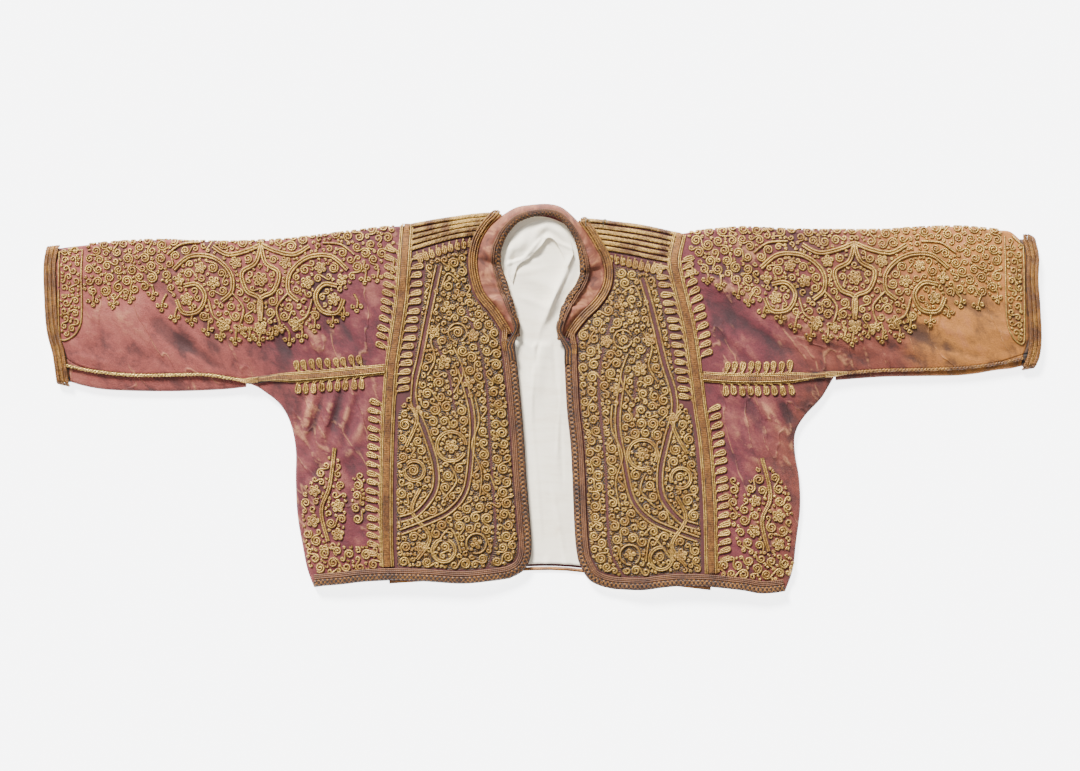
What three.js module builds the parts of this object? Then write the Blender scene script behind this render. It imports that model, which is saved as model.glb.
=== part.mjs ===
import * as THREE from 'three';

// A cropped velvet jacket with couched cord embroidery, laid flat with its front up and its
// arms spread. Millimetres. X runs along the arms, Y from the hem to the collar, Z up from the
// surface that it lies on. Left is -X and right is +X, as seen from above.
//
// The jacket is cut and sewn: two fronts, a back, two side panels under the arms, two sleeves
// that are each one sheet wrapped round, two shoulder yokes turned over the shoulder, a stand
// collar folded inward, a cotton back lining and a neck facing. Braids cover the seams.

// ---- driving sizes ----
const WALL = { velvet: 2.5, front: 3.0, yoke: 2.5, collar: 2.2, cotton: 1.2, cuff: 2.8 };
const GAP = 0.32;          // between two pieces at a seam
const LIFT = 0.7;          // a braid above the panel that it is sewn to
const FOLD = 4.5;          // how far a turned fold reaches in from the outline
const REST = { fold: 9, lap: 7.4, arch: 9.5, reach: 38 };
const MOUTH = { share: 0.62, reach: 45 };   // how open a cuff or hem stands, of the full arch
const CUFF_BAND = 16;      // length of the braided band at the end of a sleeve
const EDGE_BRAID = { width: 14, thick: 1.5, inset: 8, lift: 1.0 };
const SEAM_BRAID = { width: 12, thick: 1.7 };
const NECK_BRAID = { width: 8, thick: 1.4, inset: 5.2 };
const LOBE = { pitch: 10.6, share: 0.58, length: 17, slant: 6, tip: 0.6 };
const HOOK = { wire: 0.7, bend: 2.2, leg: 7 };

const COLOUR = {
  velvet: 0x82505f, sleeve: 0x9c6a6b, gilt: 0xa8894f, braid: 0x8e6a41, cotton: 0xece6db,
  collar: 0x94665a, steel: 0x6f6a62,
};

// ---- seam and fold lines, each row x, y ----
const LINES = {
  left: {
    cuff: [[-596, 180], [-599, 160], [-598, 124], [-595, 82], [-588, 52], [-584, 19]],
    topFold: [[-596, 180], [-577, 182], [-505, 188], [-457, 190], [-409, 188], [-337, 189],
      [-289, 193], [-241, 199], [-193, 205], [-163, 207]],
    lowFold: [[-584, 19], [-561, 14], [-529, 10], [-481, 8], [-433, 8], [-385, 10], [-356, 13]],
    sleeveSeam: [[-586, 46], [-567, 38], [-531, 31], [-483, 27], [-411, 28], [-378, 24],
      [-356, 20]],
    underarm: [[-356, 20], [-321, 24], [-291, 25], [-243, 29], [-181, 35]],
    sideSeam: [[-185, -219], [-187, -170], [-187, -98], [-185, -26], [-181, 35]],
    armhole: [[-181, 35], [-176, 70], [-169, 118], [-165, 173]],
    armholeTop: [[-165, 173], [-164, 190], [-163, 202.5]],
    sideFold: [[-275, -227], [-283, -206], [-289, -176], [-295, -140], [-297, -98],
      [-297, -62], [-303, -32], [-315, -10], [-337, 7], [-355, 14]],
    hemSide: [[-185, -219], [-217, -221], [-241, -224], [-275, -227]],
    hemFront: [[-185, -219], [-145, -220], [-97, -223], [-61, -220], [-39, -217]],
    frontEdge: [[-39, -217], [-23, -208], [-15, -194], [-13, -176], [-15, -146], [-19, -98],
      [-22, -50], [-26, -2], [-31, 46], [-35, 73]],
    neckline: [[-35, 73], [-44, 89], [-56, 107], [-70, 124], [-77, 142], [-80, 164],
      [-77, 184], [-72, 196]],
    yokeSeam: [[-165, 173], [-140, 181], [-117, 188], [-99, 192], [-72, 196]],
    yokeNeck: [[-72, 196], [-63, 209], [-52, 218.5]],
    shoulder: [[-163, 207], [-133, 213], [-109, 217], [-81, 221], [-51, 223]],
  },
  right: {
    cuff: [[592, 190], [596, 170], [595, 142], [597, 110], [599, 72], [597, 50], [592, 38]],
    topFold: [[592, 190], [575, 200], [551, 202], [503, 206], [455, 205], [407, 202],
      [335, 202], [287, 203], [239, 205], [191, 201], [165, 197]],
    lowFold: [[592, 38], [575, 35], [551, 33], [503, 27], [455, 26], [407, 25], [353, 21]],
    sleeveSeam: [[593, 52], [551, 42], [503, 36], [455, 34], [407, 33], [353, 29]],
    underarm: [[353, 29], [309, 25], [273, 23], [231, 23], [184, 26]],
    sideSeam: [[203, -227], [202, -194], [200, -122], [195, -56], [189, -14], [184, 26]],
    armhole: [[184, 26], [175, 85], [163, 136], [158, 161]],
    armholeTop: [[158, 161], [160, 178], [164, 192.5]],
    sideFold: [[292, -233], [301, -208], [305, -176], [310, -134], [309, -98], [304, -68],
      [304, -45], [314, -26], [333, -5], [352, 21]],
    hemSide: [[203, -227], [239, -231], [263, -235], [292, -233]],
    hemFront: [[203, -227], [167, -226], [143, -228], [119, -231], [86, -230]],
    frontEdge: [[86, -230], [69, -226], [55, -218], [45, -201], [41, -187], [38, -154],
      [34, -64], [29, -14], [26, 46], [26, 68]],
    neckline: [[26, 68], [34, 85], [47, 101], [62, 116], [73, 133], [76, 152], [72, 169],
      [67, 178]],
    yokeSeam: [[158, 161], [128, 166], [106, 171], [86, 175], [67, 178]],
    yokeNeck: [[67, 178], [58, 194], [46, 210.5]],
    shoulder: [[165, 197], [139, 203], [113, 208], [89, 211], [65, 214], [43, 215]],
  },
};
const BACK_NECK = [[-52, 218.5], [-35, 225], [-17, 228], [8, 229], [25, 224], [46, 210.5]];
const BACK_HEM = [[-185, -219], [-100, -213], [-30, -204], [35, -204], [110, -216], [203, -227]];

// The collar, a band from one front edge round the neck to the other: its seam and free edge.
const COLLAR = {
  cloth: 30, clear: 1.3,
  seam: [...LINES.left.neckline, ...LINES.left.yokeNeck.slice(1),
    [-33, 230], [-14, 233.5], [8, 234.5], [26, 229],
    ...[...LINES.right.yokeNeck].reverse(), ...[...LINES.right.neckline].reverse().slice(1)],
  free: [[-29, 74], [-32, 89], [-35, 106], [-38, 123], [-43, 141], [-49, 157], [-52, 173],
    [-47, 190], [-40, 202], [-31, 212], [-15, 219], [6, 222], [22, 217], [33, 205], [41, 190],
    [45, 173], [46, 159], [44, 147], [38, 134], [29, 122], [23, 104], [20, 70]],
};

// Creases and soft ridges of the upper layer, each from one end to the other.
const CREASE_COLUMNS = ['x0', 'y0', 'x1', 'y1', 'wide', 'rise'];
const CREASES = [
  [-556, 137, -540, 70, 13, 1.8],
  [-502, 106, -463, 40, 14, 2.2],
  [-466, 92, -425, 55, 11, -2.2],
  [-576, 62, -545, 44, 10, 1.4],
  [-340, 124, -312, 52, 13, -1.9],
  [-304, 122, -268, 55, 13, 2.2],
  [-270, 132, -238, 60, 12, -1.8],
  [-232, 128, -214, 66, 12, 1.8],
  [-279, -6, -291, -52, 10, 2.4],
  [-256, -8, -274, -70, 10, 2.2],
  [-230, -12, -250, -58, 10, 2.0],
  [-267, -10, -281, -62, 7, -2.0],
  [-242, -14, -262, -60, 7, -1.8],
  [-213, -30, -236, -70, 9, 1.6],
  [214, -12, 256, -66, 12, 2.4],
  [232, -4, 276, -48, 10, -1.8],
  [266, -10, 298, -72, 11, 2.4],
  [290, -8, 301, -40, 8, -1.8],
  [206, 140, 372, 56, 15, 2.6],
  [206, 112, 300, 50, 12, -1.8],
  [216, 156, 330, 118, 12, -1.6],
  [430, 84, 498, 50, 12, -2.0],
  [388, 96, 440, 52, 13, 1.8],
  [520, 120, 560, 62, 14, 1.6],
];

// Fields of dense couched cord, raised above the bare velvet.
const FIELD_COLUMNS = ['x', 'y', 'rx', 'ry', 'rise'];
const FIELDS = [
  [-342, 130, 112, 62, 1.3],
  [-500, 160, 90, 30, 1.0],
  [-200, 165, 60, 40, 1.0],
  [-110, -20, 62, 190, 1.0],
  [115, -30, 62, 190, 1.0],
  [372, 130, 112, 66, 1.3],
  [210, 165, 60, 40, 1.0],
  [520, 160, 80, 34, 1.0],
  [-262, -150, 36, 66, 1.0],
  [270, -150, 38, 64, 1.0],
];

// ---- plane helpers ----
const rowsAs = (columns, rows) => rows.map((row) => Object.fromEntries(
  columns.map((name, k) => [name, row[k]])));
const creases = rowsAs(CREASE_COLUMNS, CREASES);
const fields = rowsAs(FIELD_COLUMNS, FIELDS);
const smooth = (t) => THREE.MathUtils.smoothstep(t, 0, 1);
const mix = (a, b, t) => a + (b - a) * t;

const curve = (rows) => new THREE.SplineCurve(rows.map(([x, y]) => new THREE.Vector2(x, y)));
const evenly = (cells) => Array.from({ length: cells + 1 }, (_, k) => k / cells);
// Points along a line, in even cells or at the fractions of its length that are given.
const spaced = (rows, cells) => (Array.isArray(cells)
  ? cells.map((u) => curve(rows).getPointAt(u)) : curve(rows).getSpacedPoints(cells));

// The same line moved sideways, to the left of its direction where side is positive.
function shifted(points, side) {
  return points.map((p, k) => {
    const before = points[Math.max(0, k - 1)];
    const after = points[Math.min(points.length - 1, k + 1)];
    const along = after.clone().sub(before).normalize();
    return new THREE.Vector2(p.x - along.y * side, p.y + along.x * side);
  });
}

// A grid over the area that four lines bound: low and high run the same way, as near and far do.
function patch(low, high, near, far, us = evenly(low.length - 1), vs = evenly(near.length - 1)) {
  const rows = near.length - 1;
  const cols = low.length - 1;
  const grid = [];
  for (let i = 0; i <= rows; i += 1) {
    const v = vs[i];
    const line = [];
    for (let j = 0; j <= cols; j += 1) {
      const u = us[j];
      const across = near[i].clone().lerp(far[i], u);
      const up = low[j].clone().lerp(high[j], v);
      const corner = low[0].clone().lerp(low[cols], u)
        .lerp(high[0].clone().lerp(high[cols], u), v);
      line.push(across.add(up).sub(corner));
    }
    grid.push(line);
  }
  return grid;
}

// Draws the grid's outer points in by half the seam gap, on the sides that are named.
// A side may give a wider gap of its own.
function drawnIn(grid, sides) {
  const rows = grid.length - 1;
  const cols = grid[0].length - 1;
  const toward = (p, q, by) => p.clone().add(q.clone().sub(p).setLength(
    by === true ? GAP / 2 : by));
  const out = grid.map((line) => line.map((p) => p.clone()));
  for (let i = 0; i <= rows; i += 1) {
    if (sides.near) out[i][0] = toward(out[i][0], grid[i][1], sides.near);
    if (sides.far) out[i][cols] = toward(out[i][cols], grid[i][cols - 1], sides.far);
  }
  for (let j = 0; j <= cols; j += 1) {
    if (sides.low) out[0][j] = toward(out[0][j], out[1][j], sides.low);
    if (sides.high) out[rows][j] = toward(out[rows][j], out[rows - 1][j], sides.high);
  }
  return out;
}

function distanceTo(lines, x, y) {
  let best = Infinity;
  for (const line of lines) {
    for (let k = 1; k < line.length; k += 1) {
      const ax = line[k - 1].x;
      const ay = line[k - 1].y;
      const dx = line[k].x - ax;
      const dy = line[k].y - ay;
      const t = THREE.MathUtils.clamp(((x - ax) * dx + (y - ay) * dy) / (dx * dx + dy * dy), 0, 1);
      best = Math.min(best, Math.hypot(x - ax - dx * t, y - ay - dy * t));
    }
  }
  return best;
}

// ---- the height of the upper layer ----
const both = (name, cells) => [spaced(LINES.left[name], cells), spaced(LINES.right[name], cells)];
const FOLDS = [...both('topFold', 24), ...both('lowFold', 16), ...both('sideFold', 24),
  ...both('shoulder', 8)];
const LAPS = [...both('frontEdge', 24), ...both('neckline', 12), ...both('yokeNeck', 4)];
const MOUTHS = [...both('cuff', 8), ...both('hemSide', 6), ...both('hemFront', 10)];
const STIFF = [...both('sideSeam', 12), ...both('armhole', 8), ...both('armholeTop', 2),
  ...both('underarm', 10), ...both('sleeveSeam', 12)];

function creaseAt(x, y) {
  let rise = 0;
  for (const c of creases) {
    const dx = c.x1 - c.x0;
    const dy = c.y1 - c.y0;
    const t = ((x - c.x0) * dx + (y - c.y0) * dy) / (dx * dx + dy * dy);
    if (t > -0.35 && t < 1.35) {
      const off = Math.hypot(x - c.x0 - dx * t, y - c.y0 - dy * t) / c.wide;
      const end = smooth((t + 0.35) / 0.5) * smooth((1.35 - t) / 0.5);
      rise += c.rise * end * Math.exp(-off * off);
    }
  }
  return rise;
}

function fieldAt(x, y) {
  let rise = 0;
  for (const f of fields) {
    const off = Math.hypot((x - f.x) / f.rx, (y - f.y) / f.ry);
    rise = Math.max(rise, f.rise * smooth((1.1 - off) / 0.3));
  }
  return rise;
}

function height(x, y) {
  const fromFold = distanceTo(FOLDS, x, y) - FOLD;
  const fromLap = distanceTo(LAPS, x, y);
  const inside = Math.max(0, Math.min(fromFold, fromLap));
  const open = mix(MOUTH.share, 1, 1 - Math.exp(-distanceTo(MOUTHS, x, y) / MOUTH.reach));
  const full = REST.arch * (1 - Math.exp(-inside / REST.reach)) * open;
  const lap = (REST.fold - REST.lap) * Math.exp(-fromLap / 15);
  const free = smooth((distanceTo(STIFF, x, y) - 16) / 24) * smooth(inside / 14);
  return REST.fold + full - lap + creaseAt(x, y) * free + fieldAt(x, y) * smooth(inside / 20);
}
const lying = (p) => new THREE.Vector3(p.x, p.y, height(p.x, p.y));
const resting = (p) => new THREE.Vector3(p.x, p.y, 0);

// The points round a turned edge, from the upper layer at p over to the surface below it.
function turned(p, outward, steps) {
  const top = height(p.x, p.y);
  const points = [];
  for (let k = 1; k < steps; k += 1) {
    const angle = Math.PI * k / steps;
    const out = outward.clone().multiplyScalar(FOLD * Math.sin(angle));
    points.push(new THREE.Vector3(p.x + out.x, p.y + out.y, top / 2 * (1 + Math.cos(angle))));
  }
  return points;
}

// ---- a closed solid from a grid of outer points ----
// Rows of points, null where there is no cloth. The wall is laid on the inner side, and keep
// says which cells are cloth.
function sheet(name, points, wall, colour, finish = {}, keep = () => true) {
  const rows = points.length - 1;
  const cols = points[0].length - 1;
  const cloth = (i, j) => i >= 0 && j >= 0 && i < rows && j < cols && keep(i, j)
    && points[i][j] && points[i + 1][j] && points[i][j + 1] && points[i + 1][j + 1];
  const normals = points.map((line) => line.map(() => new THREE.Vector3()));
  for (let i = 0; i < rows; i += 1) {
    for (let j = 0; j < cols; j += 1) {
      if (!cloth(i, j)) continue;
      const a = points[i + 1][j + 1].clone().sub(points[i][j]);
      const b = points[i][j + 1].clone().sub(points[i + 1][j]);
      const n = a.cross(b).normalize();
      for (const [p, q] of [[i, j], [i + 1, j], [i, j + 1], [i + 1, j + 1]]) normals[p][q].add(n);
    }
  }
  // The outer side is the one that faces up where the sheet is highest.
  let peak = null;
  points.forEach((line, i) => line.forEach((p, j) => {
    if (p && normals[i][j].lengthSq() > 0 && (!peak || p.z > peak.p.z)) peak = { p, n: normals[i][j] };
  }));
  const outer = peak.n.z < 0 ? -1 : 1;
  const index = new Map();
  const position = [];
  const corner = (i, j, inner) => {
    const key = `${i},${j},${inner}`;
    if (!index.has(key)) {
      index.set(key, position.length / 3);
      const depth = typeof wall === 'function' ? wall(i, j) : wall;
      const p = points[i][j].clone();
      if (inner) p.addScaledVector(normals[i][j].clone().normalize(), -depth * outer);
      position.push(p.x, p.y, p.z);
    }
    return index.get(key);
  };
  const faces = [];
  const quad = (a, b, c, d) => faces.push(a, b, c, a, c, d);
  for (let i = 0; i < rows; i += 1) {
    for (let j = 0; j < cols; j += 1) {
      if (!cloth(i, j)) continue;
      const at = [[i, j], [i + 1, j], [i + 1, j + 1], [i, j + 1]];
      quad(...at.map(([p, q]) => corner(p, q, 0)));
      const under = at.map(([p, q]) => corner(p, q, 1));
      faces.push(under[0], under[2], under[1], under[0], under[3], under[2]);
      const next = [[i, j - 1], [i + 1, j], [i, j + 1], [i - 1, j]];
      for (let side = 0; side < 4; side += 1) {
        if (cloth(...next[side])) continue;
        const [p, q] = [at[side], at[(side + 1) % 4]];
        quad(corner(...q, 0), corner(...p, 0), corner(...p, 1), corner(...q, 1));
      }
    }
  }
  return solid(name, position, faces, colour, finish);
}

function solid(name, position, faces, colour, finish = {}) {
  const geometry = new THREE.BufferGeometry();
  geometry.setAttribute('position', new THREE.Float32BufferAttribute(position, 3));
  geometry.setIndex(faces);
  if (signedVolume(position, faces) < 0) {
    geometry.setIndex(faces.map((v, k) => faces[k - (k % 3) + [0, 2, 1][k % 3]]));
  }
  return mesh(name, geometry, colour, finish);
}

function signedVolume(position, faces) {
  const at = (k) => new THREE.Vector3().fromArray(position, faces[k] * 3);
  let volume = 0;
  for (let k = 0; k < faces.length; k += 3) volume += at(k).dot(at(k + 1).cross(at(k + 2)));
  return volume;
}

function mesh(name, geometry, colour, { roughness = 0.9, metalness = 0 } = {}) {
  const made = new THREE.Mesh(geometry, new THREE.MeshStandardMaterial({
    color: colour, roughness, metalness, side: THREE.DoubleSide,
  }));
  made.name = name;
  return made;
}
const GILT = { roughness: 0.45, metalness: 0.55 };

// ---- the pieces ----
const CELLS = {
  sleeveClosed: 12, underarm: 8, sideSeam: 12, armhole: 6, armholeTop: 2, fold: 4,
};
const ACROSS = [0, 0.07, 0.22, 0.4, 0.58, 0.75, 0.89, 1];   // columns of a front
const EDGE = [0, 0.045, 0.1, 0.155, 0.23, 0.32, 0.42, 0.52, 0.62, 0.72, 0.81, 0.905, 1];

// A sleeve is one sheet: it starts at the seam in front, turns under at the lower fold, runs
// along the back, turns over the upper fold and comes down the front to the seam again. Past
// the tip of the side panel its two edges part and are sewn to that panel instead.
function sleeve(side, turn) {
  const s = LINES[side];
  const closed = spaced(s.sleeveSeam, CELLS.sleeveClosed);
  const opened = spaced(s.underarm, CELLS.underarm);
  const lower = [...closed, ...opened.slice(1)];
  const up = CELLS.armhole + CELLS.armholeTop;
  const top = shifted(spaced(s.topFold, lower.length - 1), -FOLD * turn);
  const armhole = [...spaced(s.armhole, CELLS.armhole),
    ...spaced(s.armholeTop, CELLS.armholeTop).slice(1)];
  const cuffUp = spaced([...s.cuff].reverse().slice(1), up);
  cuffUp[0] = lower[0].clone();
  cuffUp[up] = top[0].clone();
  top[top.length - 1] = armhole[up].clone();
  const cuff = cuffUp.map((p) => p.clone().add(new THREE.Vector2(turn * CUFF_BAND, 0)));
  const lowerIn = lower.map((p, k) => p.clone().add(new THREE.Vector2(
    turn * CUFF_BAND * Math.max(0, 1 - k / 5), 0)));
  const topIn = top.map((p, k) => p.clone().add(new THREE.Vector2(
    turn * CUFF_BAND * Math.max(0, 1 - k / 5), 0)));
  const front = patch(cuff, armhole, lowerIn, topIn);
  const sewn = drawnIn(front, { high: true, near: true });
  const wide = drawnIn(front, { high: 0.7, near: 0.3 });
  const low = shifted(spaced(s.lowFold, CELLS.sleeveClosed), FOLD * turn);
  const last = CELLS.sleeveClosed;
  const outUp = new THREE.Vector2(0, 1);
  const outDown = new THREE.Vector2(0, -1);
  const section = (i, ring) => {
    const row = [];
    if (i <= last) {
      const b = low[i].clone().add(new THREE.Vector2(
        ring ? 0 : turn * CUFF_BAND * Math.max(0, 1 - i / 5), 0));
      const edge = front[i][0].clone().add(b.clone().sub(front[i][0]).setLength(GAP / 2));
      row.push(lying(edge), lying(b), ...turned(b, outDown, CELLS.fold), resting(b));
    } else {
      for (let k = 0; k < CELLS.fold + 2; k += 1) row.push(null);
    }
    for (let j = 0; j <= up; j += 2) row.push(resting(j === 0 && i > last ? sewn[i][0] : front[i][j]));
    if (i === front.length - 1) {
      for (let k = row.length - 1 - up / 2; k < row.length; k += 1) {
        row[k] = resting(wide[i][(k - row.length + 1 + up / 2) * 2]);
      }
    }
    row.push(...turned(sewn[i][up], outUp, CELLS.fold).reverse());
    for (let j = up; j >= 0; j -= 1) row.push(lying(sewn[i][j]));
    return row;
  };
  const rows = front.map((_, i) => section(i, false));
  const strip = CELLS.fold + 2;
  const made = sheet(`sleeve_${side}`, rows, WALL.velvet, COLOUR.sleeve, {},
    (i, j) => i < last || j >= strip);

  // The braided band that ends the sleeve runs all round it.
  const end = front[0].map((p) => p.clone().add(new THREE.Vector2(-turn * CUFF_BAND, 0)));
  const bandRows = [0, 0.5, 1].map((t) => {
    const ends = end.map((p, j) => p.clone().lerp(front[0][j].clone().add(
      new THREE.Vector2(-turn * GAP, 0)), t));
    const lowEnd = low[0].clone().add(new THREE.Vector2(turn * (CUFF_BAND - GAP) * t, 0));
    const ring = [lying(ends[0]), lying(lowEnd), ...turned(lowEnd, outDown, CELLS.fold),
      resting(lowEnd)];
    for (let j = 0; j <= up; j += 2) ring.push(resting(ends[j]));
    ring.push(...turned(ends[up], outUp, CELLS.fold).reverse());
    for (let j = up; j >= 1; j -= 1) ring.push(lying(ends[j]));
    const close = ends[0].clone().add(ends[1].clone().sub(ends[0]).setLength(GAP));
    ring.push(lying(close));
    return ring;
  });
  const band = sheet(`cuff_band_${side}`, bandRows, WALL.cuff, COLOUR.braid, GILT);
  return [made, band];
}

// The panel under the arm: from the side seam of the front round the side fold to the back.
function sidePanel(side) {
  const s = LINES[side];
  const seam = spaced(s.sideSeam, CELLS.sideSeam);
  const fold = spaced(s.sideFold, CELLS.sideSeam);
  const turn = side === 'left' ? 1 : -1;
  const inner = shifted(fold, -FOLD * turn);
  const underarm = spaced([...s.underarm].reverse(), CELLS.underarm);
  const hem = spaced(s.hemSide, CELLS.underarm);
  inner[0] = hem[CELLS.underarm].clone().add(new THREE.Vector2(FOLD * turn, 0));
  inner[CELLS.sideSeam] = underarm[CELLS.underarm].clone().add(
    new THREE.Vector2((FOLD + 0.8) * turn, -1.2));
  const highLine = underarm.map((p) => p.clone());
  highLine[CELLS.underarm] = inner[CELLS.sideSeam].clone();
  const lowLine = hem.map((p) => p.clone());
  lowLine[CELLS.underarm] = inner[0].clone();
  const front = patch(lowLine, highLine, seam, inner);
  const sewn = drawnIn(front, { near: true, high: true });
  const across = CELLS.underarm;
  const rows = sewn.map((line, i) => {
    const outward = line[across].clone().sub(line[across - 1]).normalize();
    const row = line.map(lying);
    row.push(...turned(line[across], outward, CELLS.fold));
    const short = i === sewn.length - 1 ? 0.8 : 0;
    for (let j = across; j >= 0; j -= 2) {
      row.push(resting(line[j].clone().setY(line[j].y - short)));
    }
    return row;
  });
  return [sheet(`side_panel_${side}`, rows, WALL.velvet, COLOUR.velvet)];
}

// The front, densely embroidered, from the side seam to the front edge and neckline.
function front(side) {
  const s = LINES[side];
  const seam = [...spaced(s.sideSeam, CELLS.sideSeam),
    ...spaced(s.armhole, CELLS.armhole).slice(1)];
  const edge = [...spaced(s.frontEdge, EDGE), ...spaced(s.neckline, CELLS.armhole).slice(1)];
  const hem = spaced(s.hemFront, ACROSS);
  const yoke = spaced(s.yokeSeam, ACROSS);
  const grid = drawnIn(patch(hem, yoke, seam, edge, ACROSS),
    { near: true, high: true, far: true });
  return [sheet(`front_${side}`, grid.map((line) => line.map(lying)), WALL.front, COLOUR.gilt)];
}

// The yoke lies on the shoulder, turned over it to the back.
function yoke(side, turn) {
  const s = LINES[side];
  const seam = spaced(s.yokeSeam, ACROSS);
  const top = shifted(spaced(s.shoulder, ACROSS), -FOLD * turn);
  const armEnd = spaced(s.armholeTop, CELLS.armholeTop);
  const neckEnd = spaced(s.yokeNeck, CELLS.armholeTop);
  top[0] = armEnd[CELLS.armholeTop].clone();
  top[top.length - 1] = neckEnd[CELLS.armholeTop].clone();
  const grid = drawnIn(patch(armEnd, neckEnd, seam, top, undefined, ACROSS),
    { low: true, high: 0.6, near: 0.4 });
  const outUp = new THREE.Vector2(0, 1);
  const rows = grid.map((line) => {
    const last = line.length - 1;
    const row = line.map(lying);
    row.push(...turned(line[last], outUp, CELLS.fold));
    for (let j = last; j >= 0; j -= 1) row.push(resting(line[j]));
    return row;
  });
  return [sheet(`yoke_${side}`, rows, WALL.yoke, COLOUR.gilt)];
}

// The back is a flat panel on the surface, cut to the same seams as the fronts.
function back() {
  const l = LINES.left;
  const r = LINES.right;
  const leftSeam = [...spaced(l.sideSeam, CELLS.sideSeam),
    ...spaced(l.armhole, CELLS.armhole).slice(1)];
  const rightSeam = [...spaced(r.sideSeam, CELLS.sideSeam),
    ...spaced(r.armhole, CELLS.armhole).slice(1)];
  const outline = [
    ...leftSeam,
    ...spaced(l.yokeSeam, ACROSS).slice(1),
    ...spaced(l.yokeNeck, CELLS.armholeTop).slice(1),
    ...spaced(BACK_NECK, 8).slice(1),
    ...spaced([...r.yokeNeck].reverse(), CELLS.armholeTop).slice(1),
    ...spaced([...r.yokeSeam].reverse(), ACROSS).slice(1),
    ...[...rightSeam].reverse().slice(1),
    ...spaced([...BACK_HEM].reverse(), 14).slice(1, -1),
  ];
  // Drawn in all round by half the gap, toward the inside of the closed outline.
  const count = outline.length;
  const inner = outline.map((p, k) => {
    const before = outline[(k + count - 1) % count];
    const after = outline[(k + 1) % count];
    const a = p.clone().sub(before).normalize();
    const b = after.clone().sub(p).normalize();
    const n = new THREE.Vector2(a.y + b.y, -a.x - b.x).normalize();
    return p.clone().addScaledVector(n, GAP * 0.6);
  });
  const shape = new THREE.Shape(inner);
  const panel = new THREE.ExtrudeGeometry(shape, { depth: WALL.velvet, bevelEnabled: false });
  const parts = [mesh('back_panel', panel, COLOUR.velvet)];

  const hem = spaced(BACK_HEM, 20);
  const cord = [hem, shifted(hem, -2.2), shifted(hem, -4.4)].map((line, k) => line.map((p) => (
    new THREE.Vector3(p.x, p.y - GAP, [2.2, 3.2, 2.2][k]))));
  const first = cord[0].length - 1;
  const inset = (line) => line.map((p, k) => {
    if (k === 0) return p.clone().setX(p.x + GAP);
    return k === first ? p.clone().setX(p.x - GAP) : p;
  });
  parts.push(sheet('hem_cord_back', cord.map(inset), (i) => [2.2, 3.2, 2.2][i],
    COLOUR.braid, GILT));
  return parts;
}

// The cotton lining lies on the back. It is flat under the fronts and ruffled where it shows.
const LINING = {
  columns: [-0.97, -0.55, -0.3, -0.17, -0.09, -0.02, 0.05, 0.12, 0.19, 0.26, 0.36, 0.6, 0.97],
  rows: 18, base: WALL.velvet + GAP, tuck: 1.6, roll: 4.2,
};
const LINING_FOLDS = rowsAs(CREASE_COLUMNS, [
  [38, 172, 10, 110, 8, 3.0],
  [8, 104, -10, 10, 9, 2.4],
  [-6, 0, 4, -110, 11, 1.2],
  [-40, 178, -8, 186, 8, 2.6],
  [-22, 148, 14, 132, 9, 1.6],
  [12, -40, 22, -150, 10, 1.2],
]);
function liningRise(x, y) {
  let rise = 0;
  for (const c of LINING_FOLDS) {
    const dx = c.x1 - c.x0;
    const dy = c.y1 - c.y0;
    const t = ((x - c.x0) * dx + (y - c.y0) * dy) / (dx * dx + dy * dy);
    if (t > -0.4 && t < 1.4) {
      const off = Math.hypot(x - c.x0 - dx * t, y - c.y0 - dy * t) / c.wide;
      rise += c.rise * smooth((t + 0.4) / 0.5) * smooth((1.4 - t) / 0.5) * Math.exp(-off * off);
    }
  }
  return rise;
}
const EDGE_LEFT = spaced([...LINES.left.frontEdge, ...LINES.left.neckline.slice(1)], 60);
const EDGE_RIGHT = spaced([...LINES.right.frontEdge, ...LINES.right.neckline.slice(1)], 60);
const edgeAt = (line, y) => {
  let best = line[0];
  for (const p of line) if (Math.abs(p.y - y) < Math.abs(best.y - y)) best = p;
  return best.x;
};
function liningHeight(x, y) {
  const room = Math.min(x - edgeAt(EDGE_LEFT, y), edgeAt(EDGE_RIGHT, y) - x);
  const shown = y > 66 ? smooth((room - 26) / 16) : smooth(room / 9);
  return LINING.base + WALL.cotton + liningRise(x, y) * shown;
}
function lining() {
  const l = LINES.left;
  const r = LINES.right;
  const leftSeam = spaced([...l.sideSeam, ...l.armhole.slice(1)], LINING.rows);
  const rightSeam = spaced([...r.sideSeam, ...r.armhole.slice(1)], LINING.rows);
  const hem = curve(BACK_HEM);
  const top = curve([[-165, 173], [-110, 184], [-66, 197], [-40, 212], [0, 218], [34, 205],
    [64, 180], [108, 168], [158, 161]]);
  const rows = [];
  for (let i = 0; i <= LINING.rows; i += 1) {
    const v = i / LINING.rows;
    const line = LINING.columns.map((c) => {
      const u = (c + 1) / 2;
      const across = leftSeam[i].clone().lerp(rightSeam[i], u);
      const low = hem.getPoint(u).clone().sub(leftSeam[0].clone().lerp(rightSeam[0], u));
      const last = LINING.rows;
      const high = top.getPoint(u).clone().sub(leftSeam[last].clone().lerp(rightSeam[last], u));
      const p = across.add(low.multiplyScalar(1 - v)).add(high.multiplyScalar(v));
      p.y += 3 * (1 - v) * Math.max(0, 1 - v * 8);
      return new THREE.Vector3(p.x, p.y, liningHeight(p.x, p.y));
    });
    rows.push(line);
  }
  return [sheet('back_lining', rows, WALL.cotton, COLOUR.cotton)];
}

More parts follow.
